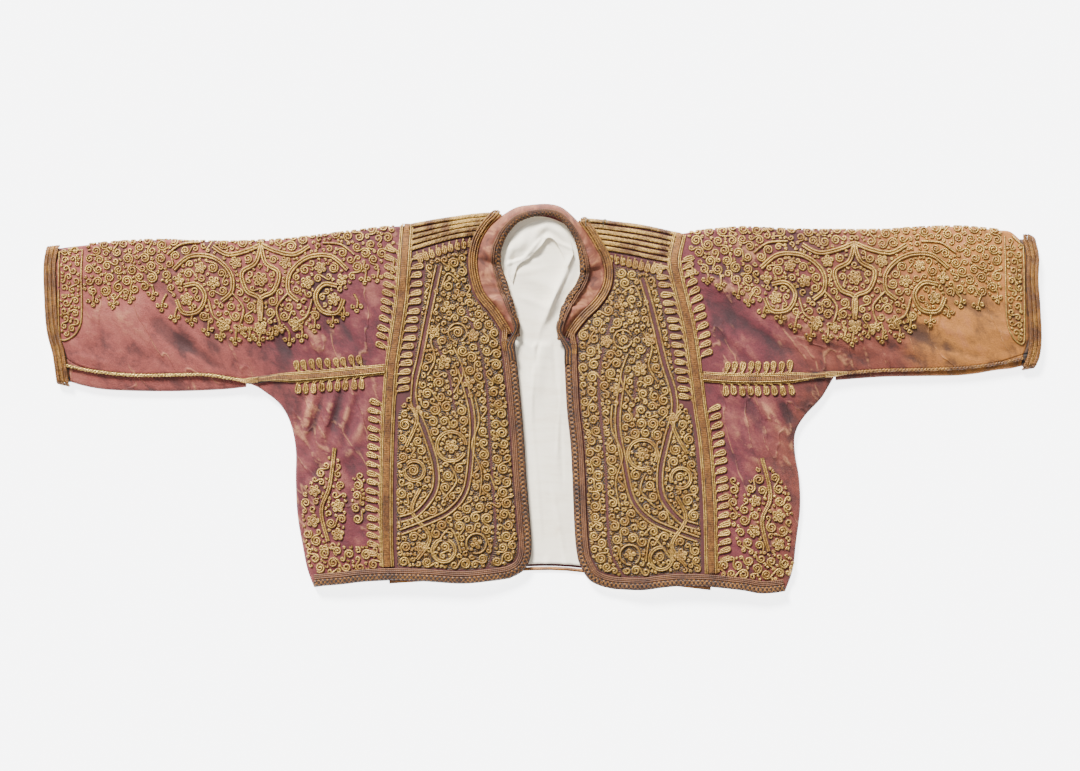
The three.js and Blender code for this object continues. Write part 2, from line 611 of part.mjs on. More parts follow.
// The cotton facing inside the neck, rumpled into rolls between the collar's free edges.
const FACING = {
  outer: [[-42, 150], [-43, 172], [-37, 192], [-24, 206], [-6, 213], [10, 214], [24, 205],
    [33, 190], [37, 172]],
  inner: [[-36, 138], [-30, 158], [-16, 168], [-2, 182], [6, 192], [14, 190], [20, 180],
    [26, 168], [30, 156]],
  rolls: 3, rise: 2.6,
};
function facing() {
  const outer = spaced(FACING.outer, 14);
  const inner = spaced(FACING.inner, 14);
  const across = 6;
  const rows = outer.map((p, i) => {
    const line = [];
    const middle = Math.sin(Math.PI * i / 14);
    for (let j = 0; j <= across; j += 1) {
      const t = j / across;
      const q = p.clone().lerp(inner[i], t);
      const roll = FACING.rise * middle * (1 - Math.cos(2 * Math.PI * FACING.rolls * t / 2)) / 2;
      const floor = LINING.base + WALL.cotton + GAP + WALL.cotton;
      line.push(new THREE.Vector3(q.x, q.y, floor + 0.4 + roll + liningRise(q.x, q.y)));
    }
    return line;
  });
  return [sheet('neck_facing', rows, WALL.cotton, COLOUR.cotton)];
}

// The collar is an arched band: its seam on the neckline, its free edge toward the middle.
const COLLAR_CELLS = { along: 36, across: 5, braid: 2 };
function collarPoints() {
  const seam = spaced(COLLAR.seam, COLLAR_CELLS.along);
  const free = spaced(COLLAR.free, COLLAR_CELLS.along);
  const fit = shifted(seam, -COLLAR.clear);
  return fit.map((o, i) => {
    const wide = free[i].distanceTo(o);
    const behind = smooth((o.y - 196) / 20);
    const from = mix(REST.lap, 6.2, behind);
    const to = mix(8.6, 10.5, behind);
    const cloth = Math.sqrt(Math.max(0, COLLAR.cloth ** 2 - wide ** 2) * 3 / 16);
    const arch = Math.min(cloth, wide * wide / 27, 5.5);
    const line = [];
    for (let j = 0; j <= COLLAR_CELLS.across; j += 1) {
      const t = j / COLLAR_CELLS.across;
      const p = o.clone().lerp(free[i], t);
      line.push(new THREE.Vector3(p.x, p.y, mix(from, to, t) + 4 * arch * t * (1 - t)));
    }
    return line;
  });
}
function collar() {
  const points = collarPoints();
  const band = sheet('collar', points, WALL.collar, COLOUR.collar);
  // Its edge braid is laid over the outer cells, made from the collar's own points.
  const first = COLLAR_CELLS.across - COLLAR_CELLS.braid;
  const braid = points.map((line, i) => {
    const row = [];
    for (let j = first; j < line.length; j += 1) {
      const beside = line[Math.min(j + 1, line.length - 1)].clone().sub(line[j - 1]);
      const next = points[Math.min(i + 1, points.length - 1)][j].clone()
        .sub(points[Math.max(i - 1, 0)][j]);
      const n = next.cross(beside).normalize();
      if (n.z < 0) n.negate();
      const crown = j === first + 1 ? 0.5 : 0;
      row.push(line[j].clone().addScaledVector(n, LIFT + EDGE_BRAID.thick + crown));
    }
    return row;
  });
  return [band, sheet('collar_braid', braid, (i, j) => EDGE_BRAID.thick + (j === 1 ? 0.5 : 0),
    COLOUR.braid, GILT)];
}

// ---- braids laid on the upper layer ----
// Stations along a line, each with its point, direction and left-hand side.
function stations(points) {
  return points.map((p, k) => {
    const before = points[Math.max(0, k - 1)];
    const after = points[Math.min(points.length - 1, k + 1)];
    const along = after.clone().sub(before).normalize();
    return { p, along, left: new THREE.Vector2(-along.y, along.x) };
  });
}

function braid(name, points, { width, thick, lift = LIFT }, crown = 0.4) {
  const rows = stations(points).map(({ p, left }) => [-0.5, 0, 0.5].map((t) => {
    const q = p.clone().addScaledVector(left, t * width);
    const z = height(q.x, q.y) + lift + thick + (t === 0 ? crown : 0);
    return new THREE.Vector3(q.x, q.y, z);
  }));
  return sheet(name, rows, (i, j) => thick + (j === 1 ? crown : 0), COLOUR.braid, GILT);
}

// A seam braid with slanting leaf lobes that stand out from its edges like the teeth of a comb.
// lobes gives, for each side, the stretches of the line that carry them and which way they lean.
function lobedBraid(name, line, { width, thick }, lobes) {
  const path = curve(line);
  const length = path.getLength();
  const pitches = Math.round(length / LOBE.pitch);
  const lean = (s, side) => {
    const found = lobes.find((l) => l.side === side && s > l.from && s < l.to);
    return found ? found.lean : 0;
  };
  const rows = [];
  const marks = [];
  for (let k = 0; k < pitches; k += 1) {
    marks.push([k, k / pitches], [k, (k + LOBE.share) / pitches]);
  }
  marks.push([pitches - 1, 1]);
  const reach = (side, at, s, t) => {
    const mid = side * (width / 2 + LOBE.length);
    const slant = lean(s, side) * LOBE.slant;
    return at.p.clone().addScaledVector(at.left, mid).addScaledVector(at.along, slant + t);
  };
  const pointAt = (u) => {
    const p = path.getPointAt(THREE.MathUtils.clamp(u, 0, 1));
    const along = path.getTangentAt(THREE.MathUtils.clamp(u, 0, 1));
    return { p, along, left: new THREE.Vector2(-along.y, along.x) };
  };
  marks.forEach(([k, u], m) => {
    const at = pointAt(u);
    const s = (k + 0.5) / pitches;
    const narrow = (m % 2 === 0 ? 1 : -1) * LOBE.pitch * LOBE.share * (1 - LOBE.tip) / 2;
    const row = [
      reach(-1, at, s, narrow),
      at.p.clone().addScaledVector(at.left, -width / 2),
      at.p.clone().addScaledVector(at.left, width / 2),
      reach(1, at, s, narrow),
    ].map((q) => new THREE.Vector3(q.x, q.y, height(q.x, q.y) + LIFT + thick));
    rows.push(row);
  });
  const keep = (i, j) => {
    if (j === 1) return true;
    const s = (Math.floor(i / 2) + 0.5) / pitches;
    return i % 2 === 0 && lean(s, j === 0 ? -1 : 1) !== 0;
  };
  return sheet(name, rows, thick, COLOUR.gilt, GILT, keep);
}

function trims(side, turn) {
  const s = LINES[side];
  const parts = [];
  // From the hem to the shoulder, over the side seam and the armhole.
  const upright = [...s.sideSeam, ...s.armhole.slice(1), ...s.armholeTop.slice(1)];
  const trimmed = curve(upright);
  const start = 17 / trimmed.getLength();
  const cut = [];
  for (let k = 0; k <= 12; k += 1) {
    const p = trimmed.getPointAt(mix(start, 0.985, k / 12));
    cut.push([p.x, p.y]);
  }
  parts.push(lobedBraid(`seam_braid_${side}`, cut, SEAM_BRAID, [
    { side: turn, from: 0.02, to: 0.49, lean: 1 },
    { side: turn, from: 0.62, to: 0.95, lean: 1 },
    { side: -turn, from: 0.53, to: 0.84, lean: 1 },
  ]));
  // Along the underarm, from beside that braid to the tip of the side panel.
  const under = curve([...s.underarm].reverse());
  const from = (SEAM_BRAID.width / 2 + 2) / under.getLength();
  const line = [];
  for (let k = 0; k <= 6; k += 1) {
    const p = under.getPointAt(mix(from, 0.955, k / 6));
    line.push([p.x, p.y]);
  }
  parts.push(lobedBraid(`underarm_braid_${side}`, line, { width: 8, thick: 1.6 }, [
    { side: 1, from: 0.14, to: 0.66, lean: 1 },
    { side: -1, from: 0.14, to: 0.66, lean: 1 },
  ]));
  // A thin cord goes on along the sleeve's seam to the cuff.
  const seam = curve(s.sleeveSeam);
  const cord = [];
  for (let k = 0; k <= 16; k += 1) cord.push(seam.getPointAt(mix(0.09, 0.985, k / 16)));
  parts.push(braid(`sleeve_seam_cord_${side}`, cord, { width: 3.2, thick: 1.2 }, 0.8));
  // The edge braid goes along the hem and up the front edge.
  const round = [...[...s.hemSide].reverse(), ...s.hemFront.slice(1), ...s.frontEdge.slice(1)];
  const outer = spaced(round, 44);
  const edge = shifted(outer, EDGE_BRAID.inset * turn);
  edge[0] = edge[0].clone().add(new THREE.Vector2(turn * 2, 0));
  parts.push(braid(`edge_braid_${side}`, edge, EDGE_BRAID));
  // A pair of cords beside the neckline, from the front edge to the shoulder.
  const neck = spaced([...s.neckline, ...s.yokeNeck.slice(1)], 16).slice(2);
  neck[neck.length - 1].lerp(neck[neck.length - 2], 0.3);
  parts.push(braid(`neck_braid_${side}`, shifted(neck, NECK_BRAID.inset * turn), NECK_BRAID));
  return parts;
}

// A bent wire hook that stands at the edge of the shoulder beside the collar.
function hook(name, x, y, z) {
  const path = new THREE.CatmullRomCurve3([
    new THREE.Vector3(0, -HOOK.leg, 0),
    new THREE.Vector3(0, 0, 0.3),
    new THREE.Vector3(HOOK.bend * 0.7, HOOK.bend, 0.5),
    new THREE.Vector3(HOOK.bend * 1.6, HOOK.bend * 0.6, 0.5),
    new THREE.Vector3(HOOK.bend * 1.7, -HOOK.bend, 0.5),
  ]);
  const round = new THREE.Shape();
  round.absarc(0, 0, HOOK.wire, 0, Math.PI * 2);
  const wire = new THREE.ExtrudeGeometry(round, {
    steps: 10, curveSegments: 3, extrudePath: path, bevelEnabled: false,
  });
  const made = mesh(name, wire, COLOUR.steel, { roughness: 0.4, metalness: 0.9 });
  made.position.set(x, y, z);
  return made;
}

const jacket = new THREE.Group();
jacket.name = 'jacket';
jacket.add(...back(), ...lining(), ...facing(), ...collar());
for (const [side, turn] of [['left', 1], ['right', -1]]) {
  jacket.add(...sleeve(side, turn), ...sidePanel(side), ...front(side), ...yoke(side, turn));
  jacket.add(...trims(side, turn));
}
jacket.add(hook('hook_left', 52, 213, 11.6), hook('hook_right', 73, 212, 11.6));

// The origin is under the middle of the whole outline.
jacket.updateMatrixWorld(true);
const box = new THREE.Box3().setFromObject(jacket);
const middle = box.getCenter(new THREE.Vector3());
jacket.position.set(-middle.x, -middle.y, -box.min.z);

export default jacket;
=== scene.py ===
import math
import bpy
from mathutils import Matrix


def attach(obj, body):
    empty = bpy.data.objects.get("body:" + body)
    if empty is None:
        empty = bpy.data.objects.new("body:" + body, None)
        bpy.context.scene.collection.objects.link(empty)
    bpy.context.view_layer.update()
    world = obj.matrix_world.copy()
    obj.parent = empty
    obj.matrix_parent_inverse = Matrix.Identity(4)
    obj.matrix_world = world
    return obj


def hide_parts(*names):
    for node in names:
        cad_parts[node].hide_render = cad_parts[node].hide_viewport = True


bl_info = {
    "name": "Embroidered velvet jacket, laid flat",
    "version": (1, 0, 0),
    "blender": (4, 5, 0),
    "location": "View3D > Sidebar > Jacket",
    "description": "A short velvet folk jacket with couched gilt cord, lying front up",
    "category": "Object",
}

import bpy
import numpy as np
from mathutils import Vector

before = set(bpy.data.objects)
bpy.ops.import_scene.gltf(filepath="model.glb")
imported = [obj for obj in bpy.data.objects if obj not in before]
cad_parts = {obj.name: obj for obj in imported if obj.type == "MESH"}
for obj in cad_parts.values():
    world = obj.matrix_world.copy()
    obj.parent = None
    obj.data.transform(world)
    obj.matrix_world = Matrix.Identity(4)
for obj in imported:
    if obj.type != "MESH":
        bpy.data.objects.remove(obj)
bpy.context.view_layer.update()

MM = 0.001
SHIFT = np.array([0.058, 0.771])  # from the cutting tables to the middle of the outline

# ---------------------------------------------------------------- cutting tables, millimetres
WALL = {"velvet": 2.5, "front": 3.0, "yoke": 2.5, "collar": 2.2, "cotton": 1.2, "cuff": 2.8}
GAP = 0.32  # between sheets that lie on or beside each other
FOLD = 4.5  # radius of a turned fold
PAST_FOLD = 11.0  # how far round a turned fold the couching may run
# The upper layer's height at a fold and at the open front, how far it arches, and over what.
REST = {"fold": 9.0, "lap": 7.4, "arch": 9.5, "reach": 38.0}
MOUTH = {"share": 0.62, "reach": 45.0}  # how much of that arch is left at the cuffs and the hem
CUFF_BAND = 16.0
LINING_BASE = WALL["velvet"] + GAP

LINES = {
    "left": {
        "cuff": [[-596, 180], [-599, 160], [-598, 124], [-595, 82], [-588, 52], [-584, 19]],
        "topFold": [[-596, 180], [-577, 182], [-505, 188], [-457, 190], [-409, 188], [-337, 189],
                    [-289, 193], [-241, 199], [-193, 205], [-163, 207]],
        "lowFold": [[-584, 19], [-561, 14], [-529, 10], [-481, 8], [-433, 8], [-385, 10],
                    [-356, 13]],
        "sleeveSeam": [[-586, 46], [-567, 38], [-531, 31], [-483, 27], [-411, 28], [-378, 24],
                       [-356, 20]],
        "underarm": [[-356, 20], [-321, 24], [-291, 25], [-243, 29], [-181, 35]],
        "sideSeam": [[-185, -219], [-187, -170], [-187, -98], [-185, -26], [-181, 35]],
        "armhole": [[-181, 35], [-176, 70], [-169, 118], [-165, 173]],
        "armholeTop": [[-165, 173], [-164, 190], [-163, 202.5]],
        "sideFold": [[-275, -227], [-283, -206], [-289, -176], [-295, -140], [-297, -98],
                     [-297, -62], [-303, -32], [-315, -10], [-337, 7], [-355, 14]],
        "hemSide": [[-185, -219], [-217, -221], [-241, -224], [-275, -227]],
        "hemFront": [[-185, -219], [-145, -220], [-97, -223], [-61, -220], [-39, -217]],
        "frontEdge": [[-39, -217], [-23, -208], [-15, -194], [-13, -176], [-15, -146],
                      [-19, -98], [-22, -50], [-26, -2], [-31, 46], [-35, 73]],
        "neckline": [[-35, 73], [-44, 89], [-56, 107], [-70, 124], [-77, 142], [-80, 164],
                     [-77, 184], [-72, 196]],
        "yokeSeam": [[-165, 173], [-140, 181], [-117, 188], [-99, 192], [-72, 196]],
        "yokeNeck": [[-72, 196], [-63, 209], [-52, 218.5]],
        "shoulder": [[-163, 207], [-133, 213], [-109, 217], [-81, 221], [-51, 223]],
    },
    "right": {
        "cuff": [[592, 190], [596, 170], [595, 142], [597, 110], [599, 72], [597, 50], [592, 38]],
        "topFold": [[592, 190], [575, 200], [551, 202], [503, 206], [455, 205], [407, 202],
                    [335, 202], [287, 203], [239, 205], [191, 201], [165, 197]],
        "lowFold": [[592, 38], [575, 35], [551, 33], [503, 27], [455, 26], [407, 25], [353, 21]],
        "sleeveSeam": [[593, 52], [551, 42], [503, 36], [455, 34], [407, 33], [353, 29]],
        "underarm": [[353, 29], [309, 25], [273, 23], [231, 23], [184, 26]],
        "sideSeam": [[203, -227], [202, -194], [200, -122], [195, -56], [189, -14], [184, 26]],
        "armhole": [[184, 26], [175, 85], [163, 136], [158, 161]],
        "armholeTop": [[158, 161], [160, 178], [164, 192.5]],
        "sideFold": [[292, -233], [301, -208], [305, -176], [310, -134], [309, -98], [304, -68],
                     [304, -45], [314, -26], [333, -5], [352, 21]],
        "hemSide": [[203, -227], [239, -231], [263, -235], [292, -233]],
        "hemFront": [[203, -227], [167, -226], [143, -228], [119, -231], [86, -230]],
        "frontEdge": [[86, -230], [69, -226], [55, -218], [45, -201], [41, -187], [38, -154],
                      [34, -64], [29, -14], [26, 46], [26, 68]],
        "neckline": [[26, 68], [34, 85], [47, 101], [62, 116], [73, 133], [76, 152], [72, 169],
                     [67, 178]],
        "yokeSeam": [[158, 161], [128, 166], [106, 171], [86, 175], [67, 178]],
        "yokeNeck": [[67, 178], [58, 194], [46, 210.5]],
        "shoulder": [[165, 197], [139, 203], [113, 208], [89, 211], [65, 214], [43, 215]],
    },
}
BACK_NECK = [[-52, 218.5], [-35, 225], [-17, 228], [8, 229], [25, 224], [46, 210.5]]
BACK_HEM = [[-185, -219], [-100, -213], [-30, -204], [35, -204], [110, -216], [203, -227]]
COLLAR = {
    "cloth": 30.0, "clear": 1.3,
    "seam": [*LINES["left"]["neckline"], *LINES["left"]["yokeNeck"][1:],
             [-33, 230], [-14, 233.5], [8, 234.5], [26, 229],
             *LINES["right"]["yokeNeck"][::-1], *LINES["right"]["neckline"][::-1][1:]],
    "free": [[-29, 74], [-32, 89], [-35, 106], [-38, 123], [-43, 141], [-49, 157], [-52, 173],
             [-47, 190], [-40, 202], [-31, 212], [-15, 219], [6, 222], [22, 217], [33, 205],
             [41, 190], [45, 173], [46, 159], [44, 147], [38, 134], [29, 122], [23, 104],
             [20, 70]],
}

# Creases: both ends, how wide, and how far they rise (or sink). The first are the large ones.
CREASES = [
    (-556, 137, -540, 70, 13, 1.8), (-502, 106, -463, 40, 14, 2.2),
    (-466, 92, -425, 55, 11, -2.2), (-576, 62, -545, 44, 10, 1.4),
    (-340, 124, -312, 52, 13, -1.9), (-304, 122, -268, 55, 13, 2.2),
    (-270, 132, -238, 60, 12, -1.8), (-232, 128, -214, 66, 12, 1.8),
    (-279, -6, -291, -52, 10, 2.4), (-256, -8, -274, -70, 10, 2.2),
    (-230, -12, -250, -58, 10, 2.0), (-267, -10, -281, -62, 7, -2.0),
    (-242, -14, -262, -60, 7, -1.8), (-213, -30, -236, -70, 9, 1.6),
    (214, -12, 256, -66, 12, 2.4), (232, -4, 276, -48, 10, -1.8),
    (266, -10, 298, -72, 11, 2.4), (290, -8, 301, -40, 8, -1.8),
    (206, 140, 372, 56, 15, 2.6), (206, 112, 300, 50, 12, -1.8),
    (216, 156, 330, 118, 12, -1.6), (430, 84, 498, 50, 12, -2.0),
    (388, 96, 440, 52, 13, 1.8), (520, 120, 560, 62, 14, 1.6),
]
FINE_CREASES = [
    (-540, 116, -522, 66, 5, -1.5), (-518, 124, -498, 72, 4, 1.0), (-486, 76, -450, 34, 4, -1.4),
    (-448, 98, -404, 62, 4, 1.2), (-436, 70, -388, 34, 5, -1.5), (-418, 92, -372, 44, 4, 1.0),
    (-392, 80, -366, 30, 4, -1.4), (-372, 92, -350, 40, 4, 1.4), (-330, 96, -318, 48, 3.5, 1.2),
    (-322, 88, -298, 44, 4, -1.5), (-290, 96, -276, 50, 3.5, -1.4), (-282, 84, -254, 46, 4, 1.2),
    (-256, 104, -240, 56, 4, 1.4), (-244, 96, -222, 62, 3.5, -1.4), (-226, 112, -206, 70, 4, -1.2),
    (-212, 108, -198, 64, 4, 1.4), (-576, 100, -560, 70, 5, -1.2), (-560, 52, -520, 40, 4, 1.2),
    (-284, 6, -296, -34, 4, -1.9), (-274, 8, -284, -40, 3.5, 1.7), (-262, 8, -276, -42, 3.5, -1.7),
    (-250, 6, -262, -46, 4, 1.7), (-240, 6, -254, -36, 3.5, -1.7), (-228, 8, -240, -34, 3.5, 1.5),
    (-220, 4, -234, -44, 4, -1.7), (-208, -2, -220, -46, 4, 1.4), (-248, -70, -280, -96, 5, -1.4),
    (-226, -62, -262, -84, 5, 1.2), (-214, -96, -226, -140, 5, 1.0),
    (-292, -84, -284, -124, 5, -1.2),
    (210, 4, 240, -40, 4, -1.7), (222, 6, 250, -34, 3.5, 1.5), (240, 8, 270, -30, 4, -1.7),
    (254, 8, 284, -36, 3.5, 1.7), (276, 10, 296, -28, 4, -1.5), (300, 10, 318, -16, 4, 1.5),
    (208, -34, 236, -86, 5, -1.4), (250, -72, 290, -96, 5, 1.4), (226, -84, 246, -130, 5, 1.0),
    (200, 92, 262, 44, 4, 1.5), (208, 80, 244, 40, 3.5, -1.5), (230, 124, 300, 76, 4, -1.5),
    (244, 98, 322, 50, 4, 1.4), (284, 92, 346, 44, 4, -1.4), (310, 100, 372, 48, 4, 1.2),
    (350, 64, 402, 36, 4, -1.5), (376, 74, 420, 40, 4, 1.4), (410, 64, 460, 40, 4, -1.4),
    (452, 92, 520, 72, 5, 1.4), (470, 62, 540, 46, 4, -1.2), (498, 112, 548, 100, 5, -1.4),
    (536, 84, 580, 70, 4, 1.2), (548, 58, 584, 50, 4, -1.0), (190, 150, 226, 128, 4, 1.4),
]
# Fields of dense couched cord: middle, half sizes, rise.
FIELDS = [
    (-342, 130, 112, 62, 1.3), (-500, 160, 90, 30, 1.0), (-200, 165, 60, 40, 1.0),
    (-110, -20, 62, 190, 1.0), (115, -30, 62, 190, 1.0), (372, 130, 112, 66, 1.3),
    (210, 165, 60, 40, 1.0), (520, 160, 80, 34, 1.0), (-262, -150, 36, 66, 1.0),
    (270, -150, 38, 64, 1.0),
]
LINING_FOLDS = [
    (38, 172, 10, 110, 8, 3.0), (8, 104, -10, 10, 9, 2.4), (-6, 0, 4, -110, 11, 1.2),
    (-40, 178, -8, 186, 8, 2.6), (-22, 148, 14, 132, 9, 1.6), (12, -40, 22, -150, 10, 1.2),
]
LINING_CREASES = [
    (-50, 158, -21, 169, 2.2, 1.7), (-21, 169, -3, 190, 2.2, 1.8), (3, 193, 39, 178, 2.4, 1.6),
    (39, 172, 13, 118, 2.4, 2.0), (13, 118, -9, 64, 2.6, 1.8), (-9, 64, -15, -26, 2.8, 1.5),
    (33, 150, 8, 104, 2.0, -1.0), (-12, 44, -18, -60, 2.2, -0.8), (24, 40, 18, -60, 2.4, 1.0),
    (30, 160, 4, 96, 3.0, 1.8), (44, 178, 28, 150, 3.0, -1.5), (2, 92, -10, 40, 2.6, -1.4),
    (-24, 120, 8, 108, 3.0, 1.2), (-30, 96, -16, 60, 2.6, 1.0), (12, 84, 16, 20, 3.0, -1.0),
    (-16, 30, -10, -60, 2.6, 1.0), (20, 0, 24, -90, 2.8, -0.9), (-8, -80, -2, -160, 2.6, 0.9),
    (14, -120, 26, -190, 3.0, 1.0), (-38, 166, -6, 172, 2.6, -1.5), (-30, 150, 0, 156, 2.4, 1.2),
]
SIDES = {"left": 1, "right": -1}  # the sign of the way in


# ---------------------------------------------------------------- plane geometry
def smooth(t):
    t = np.clip(t, 0.0, 1.0)
    return t * t * (3.0 - 2.0 * t)


def unit(v):
    return v / np.maximum(np.linalg.norm(v, axis=-1, keepdims=True), 1e-9)


def left(v):
    return np.array([-v[1], v[0]])


def toward(p, q, by):
    return p + unit(q - p) * by


def lengths(line):
    """How far along the line each of its points is."""
    return np.concatenate([[0], np.cumsum(np.linalg.norm(np.diff(line, axis=0), axis=1))])


def read_off(line, run, at):
    return np.stack([np.interp(at, run, line[:, k]) for k in range(line.shape[1])], 1)


def dense(rows, per=24):
    """A smooth line through the rows, sampled closely, with its length at each point."""
    p = np.asarray(rows, float)
    n = len(p)
    out = []
    for i in range(n - 1):
        p0, p1, p2, p3 = p[max(i - 1, 0)], p[i], p[i + 1], p[min(i + 2, n - 1)]
        t = np.linspace(0, 1, per, endpoint=False)[:, None]
        v0, v1 = (p2 - p0) * 0.5, (p3 - p1) * 0.5
        out.append((2 * p1 - 2 * p2 + v0 + v1) * t ** 3
                   + (-3 * p1 + 3 * p2 - 2 * v0 - v1) * t ** 2 + v0 * t + p1)
    q = np.vstack([*out, p[-1:]])
    return q, lengths(q)


def spaced(rows, cells):
    """The smooth line through the rows, in so many cells or at the given shares of it."""
    q, run = dense(rows)
    at = np.linspace(0, 1, cells + 1) if np.isscalar(cells) else np.asarray(cells, float)
    return read_off(q, run, at * run[-1])


def even(line, step):
    """The same line again at an even step."""
    run = lengths(line)
    return read_off(line, run, np.linspace(0, run[-1], max(2, int(round(run[-1] / step)) + 1)))


def along_of(points):
    return unit(np.gradient(points, axis=0))


def left_of(points):
    """The way to the left at each point of a line."""
    d = along_of(points)
    return np.stack([-d[:, 1], d[:, 0]], 1)


def shifted(points, side):
    return points + left_of(points) * side


def patch(low, high, near, far, us=None, vs=None):
    """A grid over the area that four lines bound."""
    rows, cols = len(near), len(low)
    u = (np.linspace(0, 1, cols) if us is None else np.asarray(us))[None, :, None]
    v = (np.linspace(0, 1, rows) if vs is None else np.asarray(vs))[:, None, None]
    across = near[:, None] * (1 - u) + far[:, None] * u
    up = low[None] * (1 - v) + high[None] * v
    corner = ((low[0] * (1 - u) + low[-1] * u) * (1 - v)
              + (high[0] * (1 - u) + high[-1] * u) * v)
    return across + up - corner


def drawn_in(grid, near=0, far=0, low=0, high=0):
    """The grid with its edges drawn in by the given widths."""
    out = grid.copy()
    if near:
        out[:, 0] = toward(out[:, 0], grid[:, 1], near)
    if far:
        out[:, -1] = toward(out[:, -1], grid[:, -2], far)
    if low:
        out[0] = toward(out[0], out[1].copy(), low)
    if high:
        out[-1] = toward(out[-1], out[-2].copy(), high)
    return out


def offsets(lines, points):
    """For each short piece of the lines: its way, and how each point lies off it."""
    for line in lines:
        for p, q in zip(line[:-1], line[1:]):
            d = q - p
            t = np.clip(((points - p) @ d) / (d @ d), 0, 1)
            yield d, points - (p + t[:, None] * d)


def nearest(lines, points):
    """Distance from each point to the nearest of the lines."""
    best = np.full(len(points), 1e9)
    for _, off in offsets(lines, points):
        best = np.minimum(best, np.hypot(*off.T))
    return best


def blend(grid, i, j, f, t):
    """A grid's value at the shares f and t of the way on from its row i and column j."""
    return ((grid[i, j] * (1 - f) + grid[i + 1, j] * f) * (1 - t)
            + (grid[i, j + 1] * (1 - f) + grid[i + 1, j + 1] * f) * t)


def creasing(table, x, y, before=0.35, ramp=0.5):
    """How far the table's creases lift each point."""
    rise = np.zeros_like(x)
    for x0, y0, x1, y1, wide, high in table:
        dx, dy = x1 - x0, y1 - y0
        t = ((x - x0) * dx + (y - y0) * dy) / (dx * dx + dy * dy)
        off = np.hypot(x - x0 - dx * t, y - y0 - dy * t) / wide
        end = smooth((t + before) / ramp) * smooth((1 + before - t) / ramp)
        rise += high * end * np.exp(-off * off)
    return rise


# Lines of both sides that shape the upper layer, and in how many cells each is read.
SHAPING = {
    "fold": {"topFold": 60, "lowFold": 30, "sideFold": 50, "shoulder": 16},
    "lap": {"frontEdge": 44, "neckline": 24, "yokeNeck": 6},
    "mouth": {"cuff": 8, "hemSide": 6, "hemFront": 10},
    "seam": {"sideSeam": 12, "armhole": 8, "armholeTop": 2, "underarm": 10, "sleeveSeam": 12},
}


class Raster:
    """The upper layer's height over the plane, worked out once and then looked up."""

    STEP = 2.0
    LOW = np.array([-640.0, -270.0])
    HIGH = np.array([640.0, 270.0])

    def __init__(self):
        self.size = ((self.HIGH - self.LOW) / self.STEP).astype(int) + 1
        x, y = (a.ravel() for a in np.meshgrid(
            *(low + np.arange(n) * self.STEP for low, n in zip(self.LOW, self.size)),
            indexing="ij"))
        p = np.stack([x, y], 1)
        away = {kind: nearest([spaced(LINES[side][name], cells) for name, cells in lines.items()
                               for side in SIDES], p) for kind, lines in SHAPING.items()}
        inside = np.maximum(0, np.minimum(away["fold"] - FOLD, away["lap"]))
        opened = 1 - (1 - MOUTH["share"]) * np.exp(-away["mouth"] / MOUTH["reach"])
        full = REST["arch"] * (1 - np.exp(-inside / REST["reach"])) * opened
        lap = (REST["fold"] - REST["lap"]) * np.exp(-away["lap"] / 15)
        # seams and folds hold the large creases off further than the fine ones
        free = smooth((away["seam"] - 16) / 24) * smooth(inside / 14)
        loose = smooth((away["seam"] - 3) / 10) * smooth(inside / 8)
        field = np.zeros_like(x)
        for fx, fy, rx, ry, rise in FIELDS:
            off = np.hypot((x - fx) / rx, (y - fy) / ry)
            field = np.maximum(field, rise * smooth((1.1 - off) / 0.3))
        relief = (creasing(CREASES, x, y) * free
                  + creasing(FINE_CREASES, x, y, 0.2, 0.4) * loose)
        z = REST["fold"] + full - lap + relief + field * smooth(inside / 20)
        signed, out = signed_fold(p)
        self.z, self.relief, self.fold, self.out_x, self.out_y = (
            a.reshape(self.size) for a in (z, relief, signed, *out.T))

    def look(self, grid, x, y):
        fx = np.clip((np.asarray(x) - self.LOW[0]) / self.STEP, 0, self.size[0] - 1.001)
        fy = np.clip((np.asarray(y) - self.LOW[1]) / self.STEP, 0, self.size[1] - 1.001)
        i, j = fx.astype(int), fy.astype(int)
        return blend(grid, i, j, fx - i, fy - j)

    def height(self, x, y):
        return self.look(self.z, x, y)


# The outline's turned folds, each run so that the cloth lies on its left.
TURNED = [spaced(LINES[side][name][::way * turn], cells) for side, turn in SIDES.items()
          for name, cells, way in (("topFold", 80, -1), ("lowFold", 50, 1),
                                   ("sideFold", 60, -1), ("shoulder", 24, -1))]


def signed_fold(points):
    """How far each point is inside the nearest turned fold, and the way out over that fold."""
    best = np.full(len(points), 1e9)
    out = np.zeros_like(points)
    inner = np.ones(len(points), bool)
    for d, off in offsets(TURNED, points):
        dist = off[:, 0] ** 2 + off[:, 1] ** 2
        hit = dist < best
        best[hit] = dist[hit]
        inner[hit] = (d[0] * off[:, 1] - d[1] * off[:, 0])[hit] > 0
        out[hit] = -left(unit(d))
    best = np.sqrt(best)
    return np.where(inner, best, -best), out


GROUND = Raster()


def draped(points, lift):
    """Plan points carried onto the upper layer, and on over a turned fold past its tangent."""
    points = np.asarray(points, float)
    lift = np.broadcast_to(np.asarray(lift, float), len(points))
    x, y = points.T
    d = GROUND.look(GROUND.fold, x, y)
    out = unit(np.stack([GROUND.look(GROUND.out_x, x, y), GROUND.look(GROUND.out_y, x, y)], 1))
    past = np.clip(FOLD - d, 0, PAST_FOLD)
    xy = points - out * past[:, None]
    z = GROUND.height(xy[:, 0], xy[:, 1])
    angle = past / FOLD
    flat = xy + out * ((FOLD + lift) * np.sin(angle))[:, None]
    up = z / 2 + (z / 2 + lift) * np.cos(angle)
    return np.column_stack([flat, up])


def placed(points):
    """Millimetres of the cutting tables to metres of the part's frame."""
    p = np.array(points, float)
    p[..., :2] += SHIFT
    return p * MM


